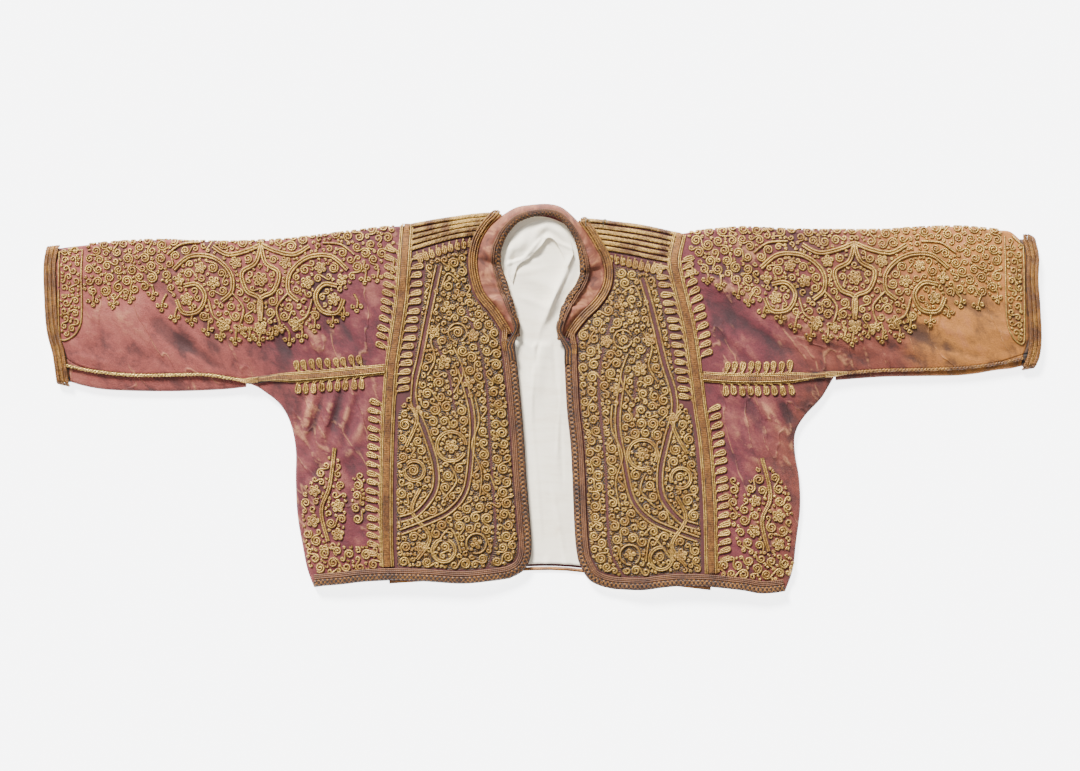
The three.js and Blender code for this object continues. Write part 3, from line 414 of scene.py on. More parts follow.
# ---------------------------------------------------------------- shader and node expressions
class Wire:
    """An output socket. Arithmetic on it adds Math nodes."""

    def __init__(self, graph, socket):
        self.graph, self.socket = graph, socket

    def __add__(self, other):
        return self.graph.maths("ADD", self, other)

    def __radd__(self, other):
        return self.graph.maths("ADD", other, self)

    def __sub__(self, other):
        return self.graph.maths("SUBTRACT", self, other)

    def __rsub__(self, other):
        return self.graph.maths("SUBTRACT", other, self)

    def __mul__(self, other):
        return self.graph.maths("MULTIPLY", self, other)

    def sine(self):
        return self.graph.maths("SINE", self)

    def absolute(self):
        return self.graph.maths("ABSOLUTE", self)

    def ramp(self, low, high):
        """0 below low, 1 above high, smooth between."""
        return self.graph.node("ShaderNodeMapRange", {"Value": self, 1: low, 2: high},
                               interpolation_type="SMOOTHSTEP")

    def part(self, axis):
        return self.graph.node("ShaderNodeSeparateXYZ", {0: self}, out=axis)


class Graph:
    def __init__(self, tree):
        self.tree = tree

    def node(self, kind, inputs=None, out=0, **settings):
        made = self.tree.nodes.new(kind)
        for name, value in settings.items():
            setattr(made, name, value)
        for key, value in (inputs or {}).items():
            socket = made.inputs[key]
            if isinstance(value, Wire):
                self.tree.links.new(value.socket, socket)
            else:
                socket.default_value = value
        return Wire(self, made.outputs[out]) if len(made.outputs) else None

    def maths(self, operation, *inputs):
        return self.node("ShaderNodeMath", dict(enumerate(inputs)), operation=operation)

    def mix(self, low, high, share):
        """Between two colours, each a socket or the name of one."""
        low, high = (c if isinstance(c, Wire) else (*COLOURS[c], 1.0) for c in (low, high))
        return self.node("ShaderNodeMix", {0: share, 6: low, 7: high}, out=2, data_type="RGBA")

    def place(self):
        return self.node("ShaderNodeTexCoord", out="Object")

    def noise(self, where, scale, detail=2.0, rough=0.5, stretch=None, turn=0.0, twist=0.0):
        if stretch:
            where = self.node("ShaderNodeMapping", {
                "Vector": where, "Rotation": (0, 0, turn),
                "Scale": tuple(1 / s for s in stretch)}, vector_type="TEXTURE")
        return self.node("ShaderNodeTexNoise", {
            "Vector": where, "Scale": scale, "Detail": detail, "Roughness": rough,
            "Distortion": twist})

    def bump(self, height, strength, distance):
        return self.node("ShaderNodeBump", {"Height": height, "Strength": strength,
                                            "Distance": distance})

    def attribute(self, name, out="Fac"):
        return self.node("ShaderNodeAttribute", out=out, attribute_name=name)

    def surface(self, **inputs):
        named = {key.replace("_", " "): value for key, value in inputs.items()}
        shader = self.node("ShaderNodeBsdfPrincipled", named)
        self.node("ShaderNodeOutputMaterial", {"Surface": shader})


def tone(red, green, blue):
    """A colour given in 0-255 steps, as linear light."""
    return tuple((c / 255 / 12.92) if c < 11 else ((c / 255 + 0.055) / 1.055) ** 2.4
                 for c in (red, green, blue))


def material(name, build):
    made = bpy.data.materials.get(name)
    if made is None:
        made = bpy.data.materials.new(name)
        made.use_nodes = True
        made.node_tree.nodes.clear()
        build(Graph(made.node_tree))
    return made


def velvet_colour(g, where):
    """Plum near the body, faded rose on the left arm and tan at the right arm's end."""
    x, y = where.part(0), where.part(1)
    drift = g.noise(where, 9.0, 3.0) - 0.5
    rose = (x * -1.0 + drift * 0.22).ramp(0.26, 0.39)
    tan = (x + y * 0.30 + drift * 0.16).ramp(0.42, 0.50)
    warm = (x + drift * 0.3).ramp(0.22, 0.36)
    base = g.mix("plum", "rose", rose)
    base = g.mix(base, "dusk", warm)
    return g.mix(base, "tan", tan)


def velvet_pile(g, where):
    """Crushed pile: broad shade, streaks slanting both ways, and fine fluff."""
    broad = g.noise(where, 13.0, 5.0, 0.62, twist=0.3)
    streak = g.noise(where, 42.0, 5.0, 0.66, stretch=(1.0, 0.42, 1.0), turn=0.46, twist=0.35)
    across = g.noise(where, 75.0, 4.0, 0.66, stretch=(0.6, 1.0, 1.0), turn=-0.4, twist=0.3)
    return broad, streak, across, g.noise(where, 900.0, 2.0, 0.65)


def build_velvet(g):
    where = g.place()
    broad, streak, across, pile = velvet_pile(g, where)
    folds = g.noise(where, 19.0, 3.0, 0.5, stretch=(1.0, 0.3, 1.0), turn=0.40, twist=0.35)
    ridge = (folds - 0.5).absolute().ramp(0.016, 0.0)  # thin rubbed lines
    crease = g.attribute("crease")
    base = velvet_colour(g, where)
    # Pile shade values, raised a little on the crease tops, so the streaks partly follow the
    # creases.
    both = streak * 0.40 + across * 0.25 + broad * 0.35 + crease * 0.022
    # Light and dark streaks: partly the crushed pile's own tone, partly painted highlight and
    # painted shade.
    light, dark = both.ramp(0.50, 0.64), both.ramp(0.53, 0.40)
    colour = g.mix(base, "deep", dark * 0.66)
    colour = g.mix(colour, "nap_highlight", light * 0.38)
    # Lighter on the crease tops: partly rubbed wear, partly painted highlight.
    colour = g.mix(colour, "wear_and_highlight", crease.ramp(1.3, 3.0) * across.ramp(0.44, 0.60) * 0.34)
    colour = g.mix(colour, "wear_and_highlight", ridge * across.ramp(0.45, 0.6) * 0.35)
    # Painted shade in the crease troughs.
    colour = g.mix(colour, "deep", crease.ramp(-0.4, -1.9) * 0.5)
    colour = g.mix(colour, "deep", pile.ramp(0.60, 0.40) * 0.28)
    height = streak * 0.8 + across * 0.4 + ridge * 0.3 + pile * 0.25
    g.surface(Base_Color=colour, Roughness=0.80 - light * 0.12, Sheen_Weight=0.05,
              Sheen_Roughness=0.45, Sheen_Tint=(*COLOURS["nap_highlight"], 1),
              Normal=g.bump(height, 0.8, 0.0026))


def build_ground(g):
    """Fronts: close coils of old gilt where they are couched, with painted shade between their
    turns; bare velvet elsewhere, darkened with painted shade.
    """
    where = g.place()
    broad, streak, across, pile = velvet_pile(g, where)
    both = streak * 0.55 + across * 0.25 + broad * 0.2
    # Bare velvet: darkened all over, more in the dark streaks, as painted shade between the raised
    # cords; lighter in the light streaks, partly the pile's own tone and partly painted highlight.
    velvet = g.mix(velvet_colour(g, where), "ground_shade", 0.60 + both.ramp(0.54, 0.36) * 0.3)
    velvet = g.mix(velvet, "nap_highlight", both.ramp(0.54, 0.70) * 0.22)
    cells = g.node("ShaderNodeTexVoronoi", {"Vector": where, "Scale": 128.0, "Randomness": 0.9},
                   voronoi_dimensions="2D", feature="F1")
    coil = (cells * (2 * math.pi / 0.30)).sine()
    fluff = g.noise(where, 320.0, 2.0, 0.6)
    # Under the couching: dim gilt in rings, with painted shade between the painted turns, darker
    # again in random patches.
    gilt = g.mix("gilt_shade_and_grime", "gilt_dull", coil.ramp(-0.3, 0.8) * 0.5)
    gilt = g.mix(gilt, "deep", fluff.ramp(0.60, 0.38) * 0.45)
    worked = g.attribute("worked")
    g.surface(Base_Color=g.mix(velvet, gilt, worked), Roughness=0.80 - worked * 0.2,
              Metallic=worked * coil.ramp(0.0, 0.8) * 0.25, Sheen_Weight=0.04,
              Sheen_Roughness=0.5, Sheen_Tint=(*COLOURS["nap_highlight"], 1),
              Normal=g.bump(coil * worked * 0.5 + streak * 0.6 + pile * 0.2, 0.7, 0.0016))


def build_collar(g):
    where = g.place()
    crushed = g.noise(where, 60.0, 4.0, 0.65, twist=0.8)
    pile = g.noise(where, 900.0, 2.0, 0.6)
    colour = g.mix("collar", "collar_light", crushed.ramp(0.45, 0.68))
    colour = g.mix(colour, "deep", crushed.ramp(0.46, 0.30) * 0.55)
    g.surface(Base_Color=colour, Roughness=0.74, Sheen_Weight=0.06, Sheen_Roughness=0.45,
              Sheen_Tint=(*COLOURS["collar_light"], 1),
              Normal=g.bump(crushed * 0.5 + pile * 0.3, 0.6, 0.0018))


def build_cotton(g):
    where = g.place()
    warp = (where.part(0) * 7400.0).sine()
    weft = (where.part(1) * 6900.0).sine()
    slub = g.noise(where, 130.0, 3.0, 0.6, stretch=(0.18, 1.0, 1.0))
    stain = g.noise(where, 24.0, 4.0, 0.6)
    colour = g.mix("cotton", "cotton_shade", slub.ramp(0.42, 0.75) * 0.5)
    colour = g.mix(colour, "stain", stain.ramp(0.62, 0.78) * 0.35)
    g.surface(Base_Color=colour, Roughness=0.88, Sheen_Weight=0.12,
              Normal=g.bump(warp * weft * 0.5 + slub, 0.35, 0.0006))


def build_cord(g, bright, dull, gap, metallic, rough, pitch):
    """Wrapped metal thread: slanting turns, tarnish in patches, painted shade in the grooves."""
    where = g.place()
    turn = g.attribute("round", "Vector")
    angle = g.maths("ARCTAN2", turn.part(1), turn.part(0))
    lay = (g.attribute("along") * (2 * math.pi / pitch) + angle * 2.0).sine()
    old = g.noise(where, 46.0, 4.0, 0.62)
    speck = g.noise(where, 420.0, 2.0, 0.6)
    colour = g.mix(bright, dull, old.ramp(0.38, 0.66))
    colour = g.mix(colour, gap, speck.ramp(0.60, 0.36) * 0.55)
    # Painted shade in the grooves between the turns.
    colour = g.mix(colour, gap, lay.ramp(0.1, -1.0) * 0.45)
    g.surface(Base_Color=colour, Metallic=metallic - old.ramp(0.4, 0.7) * metallic * 0.5,
              Roughness=rough + speck.ramp(0.4, 0.7) * 0.18,
              Normal=g.bump(lay, 0.45, 0.0003))


def build_web(g):
    """The flat ground of a braid, under its plaited strands."""
    where = g.place()
    mottled = g.noise(where, 120.0, 3.0, 0.6)
    fine = g.noise(where, 700.0, 2.0, 0.6)
    colour = g.mix("bronze_shade_and_grime", "bronze_dull", mottled.ramp(0.35, 0.7))
    g.surface(Base_Color=colour, Roughness=0.7, Metallic=0.15,
              Normal=g.bump(mottled + fine * 0.4, 0.5, 0.0008))


def build_wire(g):
    where = g.place()
    dull = g.noise(where, 300.0, 3.0, 0.6)
    g.surface(Base_Color=g.mix("wire", "wire_dull", dull.ramp(0.4, 0.7)),
              Metallic=0.9, Roughness=0.32 + dull * 0.2)


COLOURS = {name: tone(*steps) for name, steps in {
    "plum": (90, 26, 34), "rose": (128, 58, 50), "dusk": (106, 46, 31), "tan": (154, 96, 30),
    "nap_highlight": (160, 92, 70), "deep": (22, 6, 9), "wear_and_highlight": (196, 142, 94), "ground_shade": (40, 18, 12),
    "collar": (106, 55, 36), "collar_light": (150, 96, 62),
    "cotton": (250, 240, 218), "cotton_shade": (228, 214, 186), "stain": (196, 172, 132),
    "gilt": (200, 160, 84), "gilt_dull": (156, 113, 52), "gilt_shade_and_grime": (26, 15, 8),
    "gilt_pale": (232, 196, 110), "aged": (164, 116, 54),
    "bronze": (150, 100, 46), "bronze_dull": (102, 62, 27), "bronze_shade_and_grime": (24, 14, 8),
    "rosy": (126, 82, 50), "rosy_dull": (88, 53, 33), "brown": (50, 29, 16),
    "wire": (150, 140, 120), "wire_dull": (92, 80, 62),
}.items()}
FINISHES = {
    "velvet": ("faded velvet", build_velvet), "ground": ("embroidery ground", build_ground),
    "collar": ("collar velvet", build_collar), "cotton": ("cream cotton", build_cotton),
    "web": ("braid ground", build_web), "wire": ("hook wire", build_wire),
}
# Cords: the thread's light and dull colours and the one for its painted shade between the turns
# and its specks, how metallic and rough it is, and the length of a turn in metres.
for key, label, *look in (
        ("gilt", "gilt cord", "gilt", "gilt_dull", "gilt_shade_and_grime", 0.55, 0.36, 0.0022),
        ("bright", "bright gilt cord", "gilt_pale", "gilt", "gilt_shade_and_grime", 0.7, 0.28, 0.0022),
        ("aged", "aged gilt cord", "aged", "bronze_dull", "bronze_shade_and_grime", 0.45, 0.42, 0.0024),
        ("old", "old gilt cord", "gilt", "bronze_dull", "bronze_shade_and_grime", 0.45, 0.42, 0.0024),
        ("bronze", "bronze braid", "bronze", "bronze_dull", "bronze_shade_and_grime", 0.35, 0.46, 0.0026),
        ("rosy", "rose braid", "rosy", "rosy_dull", "bronze_shade_and_grime", 0.18, 0.55, 0.0024),
        ("dark", "dark braid", "brown", "bronze_shade_and_grime", "deep", 0.1, 0.6, 0.0024)):
    FINISHES[key] = (label, lambda g, look=look: build_cord(g, *look))


def finish_of(name):
    return material(*FINISHES[name])


# ---------------------------------------------------------------- cloth shells
def shell(name, points, wall, outer, inner, keep=None):
    """A closed sheet: a grid of outer points, its wall laid on the inner side.

    Rows may hold NaN where there is no cloth. The outer side is the one that faces up where
    the sheet is highest."""
    points = np.asarray(points, float)
    rows, cols = points.shape[0] - 1, points.shape[1] - 1
    there = ~np.isnan(points[..., 0])
    cloth = there[:-1, :-1] & there[1:, :-1] & there[:-1, 1:] & there[1:, 1:]
    if keep is not None:
        cloth &= keep
    a = points[1:, 1:] - points[:-1, :-1]
    b = points[:-1, 1:] - points[1:, :-1]
    facing = unit(np.cross(a, b))
    facing[~cloth] = 0
    normal = np.zeros_like(points)
    for di in (0, 1):
        for dj in (0, 1):
            normal[di:rows + di, dj:cols + dj] += facing
    size = np.linalg.norm(normal, axis=-1, keepdims=True)
    normal = np.where(size > 1e-6, normal / np.maximum(size, 1e-9), 0)
    used = size[..., 0] > 1e-6
    peak = np.nanargmax(np.where(used, points[..., 2], -1e9))
    outward = -1 if normal.reshape(-1, 3)[peak, 2] < 0 else 1
    depth = np.broadcast_to(np.asarray(wall, float), points.shape[:2])[..., None]
    under = points - normal * depth * outward
    number = np.full(points.shape[:2], -1)
    number[used] = np.arange(used.sum())
    count = int(used.sum())
    verts = np.vstack([points[used], under[used]])
    faces, kinds = [], []
    for i, j in zip(*np.nonzero(cloth)):
        ring = [(i, j), (i + 1, j), (i + 1, j + 1), (i, j + 1)]
        top = [int(number[p]) for p in ring]
        faces += [top, [t + count for t in top[::-1]]]
        kinds += [0, 1]
        for k, (ni, nj) in enumerate([(i, j - 1), (i + 1, j), (i, j + 1), (i - 1, j)]):
            if 0 <= ni < rows and 0 <= nj < cols and cloth[ni, nj]:
                continue
            p, q = top[k], top[(k + 1) % 4]
            faces.append([q, p, p + count, q + count])
            kinds.append(0)
    return solid(name, verts, faces, kinds, [outer, inner])


def linked(name, data):
    made = bpy.data.objects.new(name, data)
    bpy.context.scene.collection.objects.link(made)
    return made


def mark(mesh, name, values):
    """Stores a number at each point of a mesh."""
    mesh.attributes.new(name, "FLOAT", "POINT").data.foreach_set(
        "value", np.asarray(values, np.float32))


def solid(name, verts, faces, kinds, finishes):
    """A mesh object at the origin; its faces are turned outward by its signed volume."""
    mesh = bpy.data.meshes.new(name)
    mesh.from_pydata(placed(verts).tolist(), [], faces)
    for finish in finishes:
        mesh.materials.append(finish_of(finish))
    mesh.polygons.foreach_set("material_index", np.asarray(kinds, dtype=np.int32))
    mesh.polygons.foreach_set("use_smooth", np.ones(len(mesh.polygons), dtype=bool))
    tris = np.array([[f[0], f[k], f[k + 1]] for f in faces for k in range(1, len(f) - 1)])
    p = verts - verts.mean(0)
    volume = np.einsum("ij,ij->i", p[tris[:, 0]], np.cross(p[tris[:, 1]], p[tris[:, 2]])).sum()
    if volume < 0:
        mesh.flip_normals()
    mesh.update()
    return linked(name, mesh)


def at_height(plan, z):
    p = np.asarray(plan, float)
    return np.concatenate([p, np.broadcast_to(z, p.shape[:-1])[..., None]], -1)


def lying(plan, lift=0.0):
    """Plan points on the upper layer."""
    p = np.asarray(plan, float)
    return at_height(p, GROUND.height(p[..., 0], p[..., 1]) + lift)


def resting(plan):
    """Plan points on the surface."""
    return at_height(plan, 0.0)


def turned(p, outward, steps):
    """The points round a turned edge, from the upper layer at p down to the surface."""
    top = GROUND.height(p[0], p[1])
    angle = math.pi * np.arange(1, steps) / steps
    out = np.asarray(outward) * (FOLD * np.sin(angle))[:, None]
    return np.column_stack([p[0] + out[:, 0], p[1] + out[:, 1], top / 2 * (1 + np.cos(angle))])


# ---------------------------------------------------------------- the garment's surfaces
FINE = {"closed": 88, "open": 58, "seam": 72, "armhole": 36, "armTop": 12, "fold": 10,
        "front": 2}


def finer(fractions, by):
    f = np.asarray(fractions, float)
    return np.interp(np.linspace(0, len(f) - 1, (len(f) - 1) * by + 1), np.arange(len(f)), f)


ACROSS = finer([0, 0.07, 0.22, 0.4, 0.58, 0.75, 0.89, 1], 8)
EDGE = finer([0, 0.045, 0.1, 0.155, 0.23, 0.32, 0.42, 0.52, 0.62, 0.72, 0.81, 0.905, 1], 6)


def meet(line, start=None, end=None, reach=8):
    """Moves a line's ends to the given points, fading over the points beside them."""
    out = line.copy()
    fade = np.clip(1 - np.arange(len(line)) / reach, 0, 1)[:, None]
    if start is not None:
        out += (np.asarray(start) - line[0]) * fade
    if end is not None:
        out += (np.asarray(end) - line[-1]) * fade[::-1]
    return out


def joined(*lines):
    return np.vstack([lines[0], *[line[1:] for line in lines[1:]]])


def cuff_ease(count):
    """How much of the cuff band's width the lines near the cuff are moved in by."""
    return np.clip(1 - np.arange(count) / 25, 0, 1)


def sleeve_plan(side):
    turn, s = SIDES[side], LINES[side]
    lower = joined(spaced(s["sleeveSeam"], FINE["closed"]), spaced(s["underarm"], FINE["open"]))
    up = FINE["armhole"] + FINE["armTop"]
    armhole = joined(spaced(s["armhole"], FINE["armhole"]),
                     spaced(s["armholeTop"], FINE["armTop"]))
    top = meet(shifted(spaced(s["topFold"], len(lower) - 1), -FOLD * turn),
               end=armhole[-1], reach=6)
    cuff = meet(spaced(s["cuff"][::-1][1:], up), lower[0], top[0], 7)
    band = np.array([turn * CUFF_BAND, 0.0])
    eased = band * cuff_ease(len(lower))[:, None]
    grid = patch(cuff + band, armhole, lower + eased, top + eased)
    return grid, spaced(s["lowFold"], FINE["closed"])


def underside(edge, low, seam):
    """From a line over the lower fold at low, and back underneath to the seam."""
    t = np.linspace(0, 1, 7)[:, None]
    back = np.linspace(0, 1, 6)[1:-1, None]
    return np.vstack([lying(edge * (1 - t) + low * t), turned(low, (0.0, -1.0), FINE["fold"]),
                      resting(low[None]), resting(low * (1 - back) + seam * back)])


def topside(line):
    """Over the top fold at the line's end, and back along its upper layer."""
    return np.vstack([turned(line[-1], (0.0, 1.0), FINE["fold"])[::-1], lying(line[::-1])])


def make_sleeve(side):
    turn = SIDES[side]
    front, low_fold = sleeve_plan(side)
    last = FINE["closed"]
    sewn = drawn_in(front, near=GAP / 2, high=GAP / 2)
    wide = drawn_in(front, near=0.3, high=0.7)
    low = shifted(low_fold, FOLD * turn)
    low_eased = low + np.outer(cuff_ease(last + 1), [turn * CUFF_BAND, 0])
    strip = len(underside(*[low[0]] * 3))
    rows = []
    for i in range(len(front)):
        head, under = np.full((strip, 3), np.nan), front[i].copy()
        if i <= last:
            edge = toward(front[i, 0], low_eased[i], GAP / 2)
            head = underside(edge, low_eased[i], front[i, 0])
        else:
            under[0] = sewn[i, 0]
        if i == len(front) - 1:
            under = wide[i].copy()
        rows.append(np.vstack([head, resting(under), topside(sewn[i])]))
    rows = np.array(rows)
    keep = np.ones((rows.shape[0] - 1, rows.shape[1] - 1), bool)
    keep[last:, :strip] = False
    made = shell(f"sleeve_{side}_cloth", rows, WALL["velvet"], "velvet", "cotton", keep)

    end = front[0] - [turn * CUFF_BAND, 0]
    rings = []
    for t in np.linspace(0, 1, 5):
        ends = end * (1 - t) + (front[0] - [turn * GAP, 0]) * t
        corner = low[0] + [turn * (CUFF_BAND - GAP) * t, 0]
        rings.append(np.vstack([underside(ends[0], corner, ends[0]), resting(ends),
                                topside(ends)[:-1],
                                lying(toward(ends[0], ends[1], GAP)[None])]))
    band = shell(f"cuff_band_{side}_web", np.array(rings), WALL["cuff"], "web", "cotton")
    return made, band, rows


def side_plan(side):
    turn, s = SIDES[side], LINES[side]
    seam = spaced(s["sideSeam"], FINE["seam"])
    underarm = spaced(s["underarm"][::-1], FINE["open"])
    hem = spaced(s["hemSide"], FINE["open"])
    inner = meet(shifted(spaced(s["sideFold"], FINE["seam"]), -FOLD * turn),
                 hem[-1] + [FOLD * turn, 0], underarm[-1] + [(FOLD + 0.8) * turn, -1.2], 7)
    high = meet(underarm, end=inner[-1], reach=7)
    low = meet(hem, end=inner[0], reach=7)
    return patch(low, high, seam, inner)


def make_side(side):
    sewn = drawn_in(side_plan(side), near=GAP / 2, high=GAP / 2)
    rows = []
    for i, line in enumerate(sewn):
        out = unit(line[-1] - line[-2])
        under = line[::-1].copy()
        if i == len(sewn) - 1:
            under[:, 1] -= 0.8
        rows.append(np.vstack([lying(line), turned(line[-1], out, FINE["fold"]),
                               resting(under)]))
    return shell(f"side_panel_{side}_cloth", rows, WALL["velvet"], "velvet", "cotton"), rows


def front_plan(side, more=1):
    """A front's grid; the drawing of its couching uses one column to each of ACROSS."""
    s = LINES[side]
    across = finer(ACROSS, more)
    seam = joined(spaced(s["sideSeam"], FINE["seam"]), spaced(s["armhole"], FINE["armhole"]))
    edge = joined(spaced(s["frontEdge"], EDGE), spaced(s["neckline"], FINE["armhole"]))
    return patch(spaced(s["hemFront"], across), spaced(s["yokeSeam"], across), seam, edge,
                 us=across)


def make_front(side):
    grid = drawn_in(front_plan(side, FINE["front"]), near=GAP / 2, far=GAP / 2, high=GAP / 2)
    rows = lying(grid)
    made = shell(f"front_{side}_cloth", rows, WALL["front"], "ground", "cotton")
    flat = grid.reshape(-1, 2)
    worked = smooth(off_lines(flat, front_limits(side)) / 1.6 + 0.35)
    mark(made.data, "worked", np.concatenate([worked, worked * 0]))
    return made, rows


def yoke_plan(side):
    s = LINES[side]
    arm, neck = spaced(s["armholeTop"], 8), spaced(s["yokeNeck"], 8)
    top = meet(shifted(spaced(s["shoulder"], ACROSS), -FOLD * SIDES[side]), arm[-1], neck[-1], 7)
    return patch(arm, neck, spaced(s["yokeSeam"], ACROSS), top, vs=ACROSS)


def make_yoke(side):
    grid = drawn_in(yoke_plan(side), low=GAP / 2, high=0.6, near=0.4)
    rows = [np.vstack([lying(line), turned(line[-1], (0.0, 1.0), FINE["fold"]),
                       resting(line[::-1])]) for line in grid]
    return shell(f"yoke_{side}_cloth", rows, WALL["yoke"], "ground", "cotton"), rows


def back_plan():
    l, r = LINES["left"], LINES["right"]
    seams = [joined(spaced(s["sideSeam"], FINE["seam"]), spaced(s["armhole"], FINE["armhole"]))
             for s in (l, r)]
    top = joined(spaced(l["yokeSeam"], 14), spaced(l["yokeNeck"], 5), spaced(BACK_NECK, 18),
                 spaced(r["yokeNeck"][::-1], 5), spaced(r["yokeSeam"][::-1], 14))
    hem = spaced(BACK_HEM, len(top) - 1)
    return drawn_in(patch(hem, top, *seams), 0.25, 0.25, 0.25, 0.25)


def make_back():
    grid = back_plan()
    rows = at_height(grid, WALL["velvet"])
    return shell("back_panel_cloth", rows, WALL["velvet"], "velvet", "velvet"), rows


SHOWN = {side: spaced([*LINES[side]["frontEdge"], *LINES[side]["neckline"][1:]], 400)
         for side in SIDES}


def lining_height(x, y):
    """Flat under the fronts, and rumpled where it shows between them."""
    left, right = (SHOWN[s][np.abs(SHOWN[s][:, 1][:, None] - y.ravel()).argmin(0), 0]
                   .reshape(y.shape) for s in ("left", "right"))
    room = np.minimum(x - left, right - x)
    shown = np.where(y > 66, smooth((room - 26) / 16), smooth(room / 9))
    rise = creasing(LINING_FOLDS, x, y, 0.4, 0.5)
    small = creasing(LINING_CREASES, x, y, 0.3, 0.4) * smooth(room / 6)
    tucks = np.maximum(0, np.sin(x / 3.6)) * smooth((-184 - y) / 16) * 1.3 * smooth(room / 6)
    return LINING_BASE + WALL["cotton"] + (rise + small + tucks) * shown


def make_lining():
    l, r = LINES["left"], LINES["right"]
    rows = 130
    seams = [spaced([*s["sideSeam"], *s["armhole"][1:]], rows) for s in (l, r)]
    column = np.concatenate([np.linspace(-0.97, -0.3, 14)[:-1], np.linspace(-0.3, 0.36, 78)[:-1],
                             np.linspace(0.36, 0.97, 14)])
    share = (column + 1) / 2  # closest where the lining shows
    u = share[None, :, None]
    v = np.linspace(0, 1, rows + 1)[:, None, None]

    def run(table):
        """The table's line by its own rows, each as wide as the next."""
        q = dense(table)[0]
        return read_off(q, np.linspace(0, 1, len(q)), share)[None]

    across = seams[0][:, None] * (1 - u) + seams[1][:, None] * u
    low = run(BACK_HEM) - (seams[0][0] * (1 - u) + seams[1][0] * u)
    high = run([[-165, 173], [-110, 184], [-66, 197], [-40, 212], [0, 218], [34, 205],
                [64, 180], [108, 168], [158, 161]]) - (seams[0][-1] * (1 - u)
                                                       + seams[1][-1] * u)
    grid = across + low * (1 - v) + high * v
    grid[..., 1] += (3 * (1 - v) * np.maximum(0, 1 - v * 8))[..., 0]
    points = at_height(grid, lining_height(grid[..., 0], grid[..., 1]))
    return shell("back_lining_cloth", points, WALL["cotton"], "cotton", "cotton"), points


FACING = {
    "outer": [[-42, 150], [-43, 172], [-37, 192], [-24, 206], [-6, 213], [10, 214], [24, 205],
              [33, 190], [37, 172]],
    "inner": [[-36, 138], [-30, 158], [-16, 168], [-2, 182], [6, 192], [14, 190], [20, 180],
              [26, 168], [30, 156]],
    "rolls": 3, "rise": 2.6,
}


def make_facing():
    along, across = 84, 30
    outer, inner = spaced(FACING["outer"], along), spaced(FACING["inner"], along)
    t = np.linspace(0, 1, across + 1)[None, :]
    s = np.linspace(0, 1, along + 1)[:, None]
    plan = outer[:, None] * (1 - t[..., None]) + inner[:, None] * t[..., None]
    middle = np.sin(math.pi * s)
    sway = 0.35 * np.sin(s * 7 + 1) * t * (1 - t) * 4
    roll = FACING["rise"] * middle * (1 - np.cos(math.pi * FACING["rolls"] * (t + sway * 0.3))) / 2
    fine = 0.5 * middle * np.sin(s * 31 + t * 9) * np.sin(t * math.pi)
    x, y = plan[..., 0], plan[..., 1]
    z = (LINING_BASE + WALL["cotton"] * 2 + GAP + 0.4 + roll + fine
         + creasing(LINING_FOLDS, x, y, 0.4, 0.5) + creasing(LINING_CREASES, x, y, 0.3, 0.4))
    floor = lining_height(x, y) + WALL["cotton"] + 0.35
    points = at_height(plan, np.maximum(z, floor))
    return shell("neck_facing_cloth", points, WALL["cotton"], "cotton", "cotton"), points


def collar_points(along=216, across=15):
    """The collar's outer side: an arched band from the neck seam to its free edge."""
    seam, free = spaced(COLLAR["seam"], along), spaced(COLLAR["free"], along)
    fit = shifted(seam, -COLLAR["clear"])
    wide = np.hypot(*(free - fit).T)[:, None]
    behind = smooth((fit[:, 1] - 196) / 20)[:, None]
    low = REST["lap"] + (6.2 - REST["lap"]) * behind
    high = 8.6 + (10.5 - 8.6) * behind
    cloth = np.sqrt(np.maximum(0, COLLAR["cloth"] ** 2 - wide ** 2) * 3 / 16)
    arch = np.minimum(np.minimum(cloth, wide * wide / 27), 5.5)
    t = np.linspace(0, 1, across + 1)[None, :]
    s = np.linspace(0, 1, along + 1)[:, None]
    plan = fit[:, None] * (1 - t[..., None]) + free[:, None] * t[..., None]
    pucker = (0.35 * np.sin(s * 150 + np.sin(s * 37) * 2) + 0.3 * np.sin(s * 61 + t * 3)) * (
        np.sin(math.pi * t) * smooth((wide - 10) / 10))
    z = low + (high - low) * t + 4 * arch * t * (1 - t) + pucker
    return at_height(plan, z)


def normals_of(points):
    a = np.gradient(points, axis=0)
    b = np.gradient(points, axis=1)
    n = unit(np.cross(a, b))
    return np.where(n[..., 2:] < 0, -n, n)


def collar_braid_top(points):
    """The braid's outer side, over the outer two fifths of the collar, and its wall."""
    first, thick = 9, 1.5
    n = normals_of(points)[:, first:]
    wall = thick + 0.5 * np.sin(math.pi * np.linspace(0, 1, n.shape[1]))
    top = points[:, first:] + n * (LIFT + wall)[None, :, None]
    return top, np.broadcast_to(wall, top.shape[:2])


def make_collar():
    points = collar_points()
    band = shell("collar_cloth", points, WALL["collar"], "collar", "cotton")
    top, wall = collar_braid_top(points)
    return band, shell("collar_braid_web", top, wall, "web", "web"), points


LIFT = 0.7  # of a braid's lower side over the cloth
BRAIDS = {
    "seam": {"width": 12.0, "thick": 1.7, "lift": LIFT},
    "underarm": {"width": 8.0, "thick": 1.6, "lift": LIFT},
    "edge": {"width": 14.0, "thick": 1.5, "lift": 1.0, "inset": 8.0},
    "neck": {"width": 8.0, "thick": 1.4, "lift": LIFT, "inset": 5.2},
    "sleeve": {"width": 3.2, "thick": 1.2, "lift": LIFT},
}


def cut_line(rows, start, end, step=3.0):
    q, run = dense(rows)
    return read_off(q, run, np.arange(start * run[-1], end * run[-1], step))


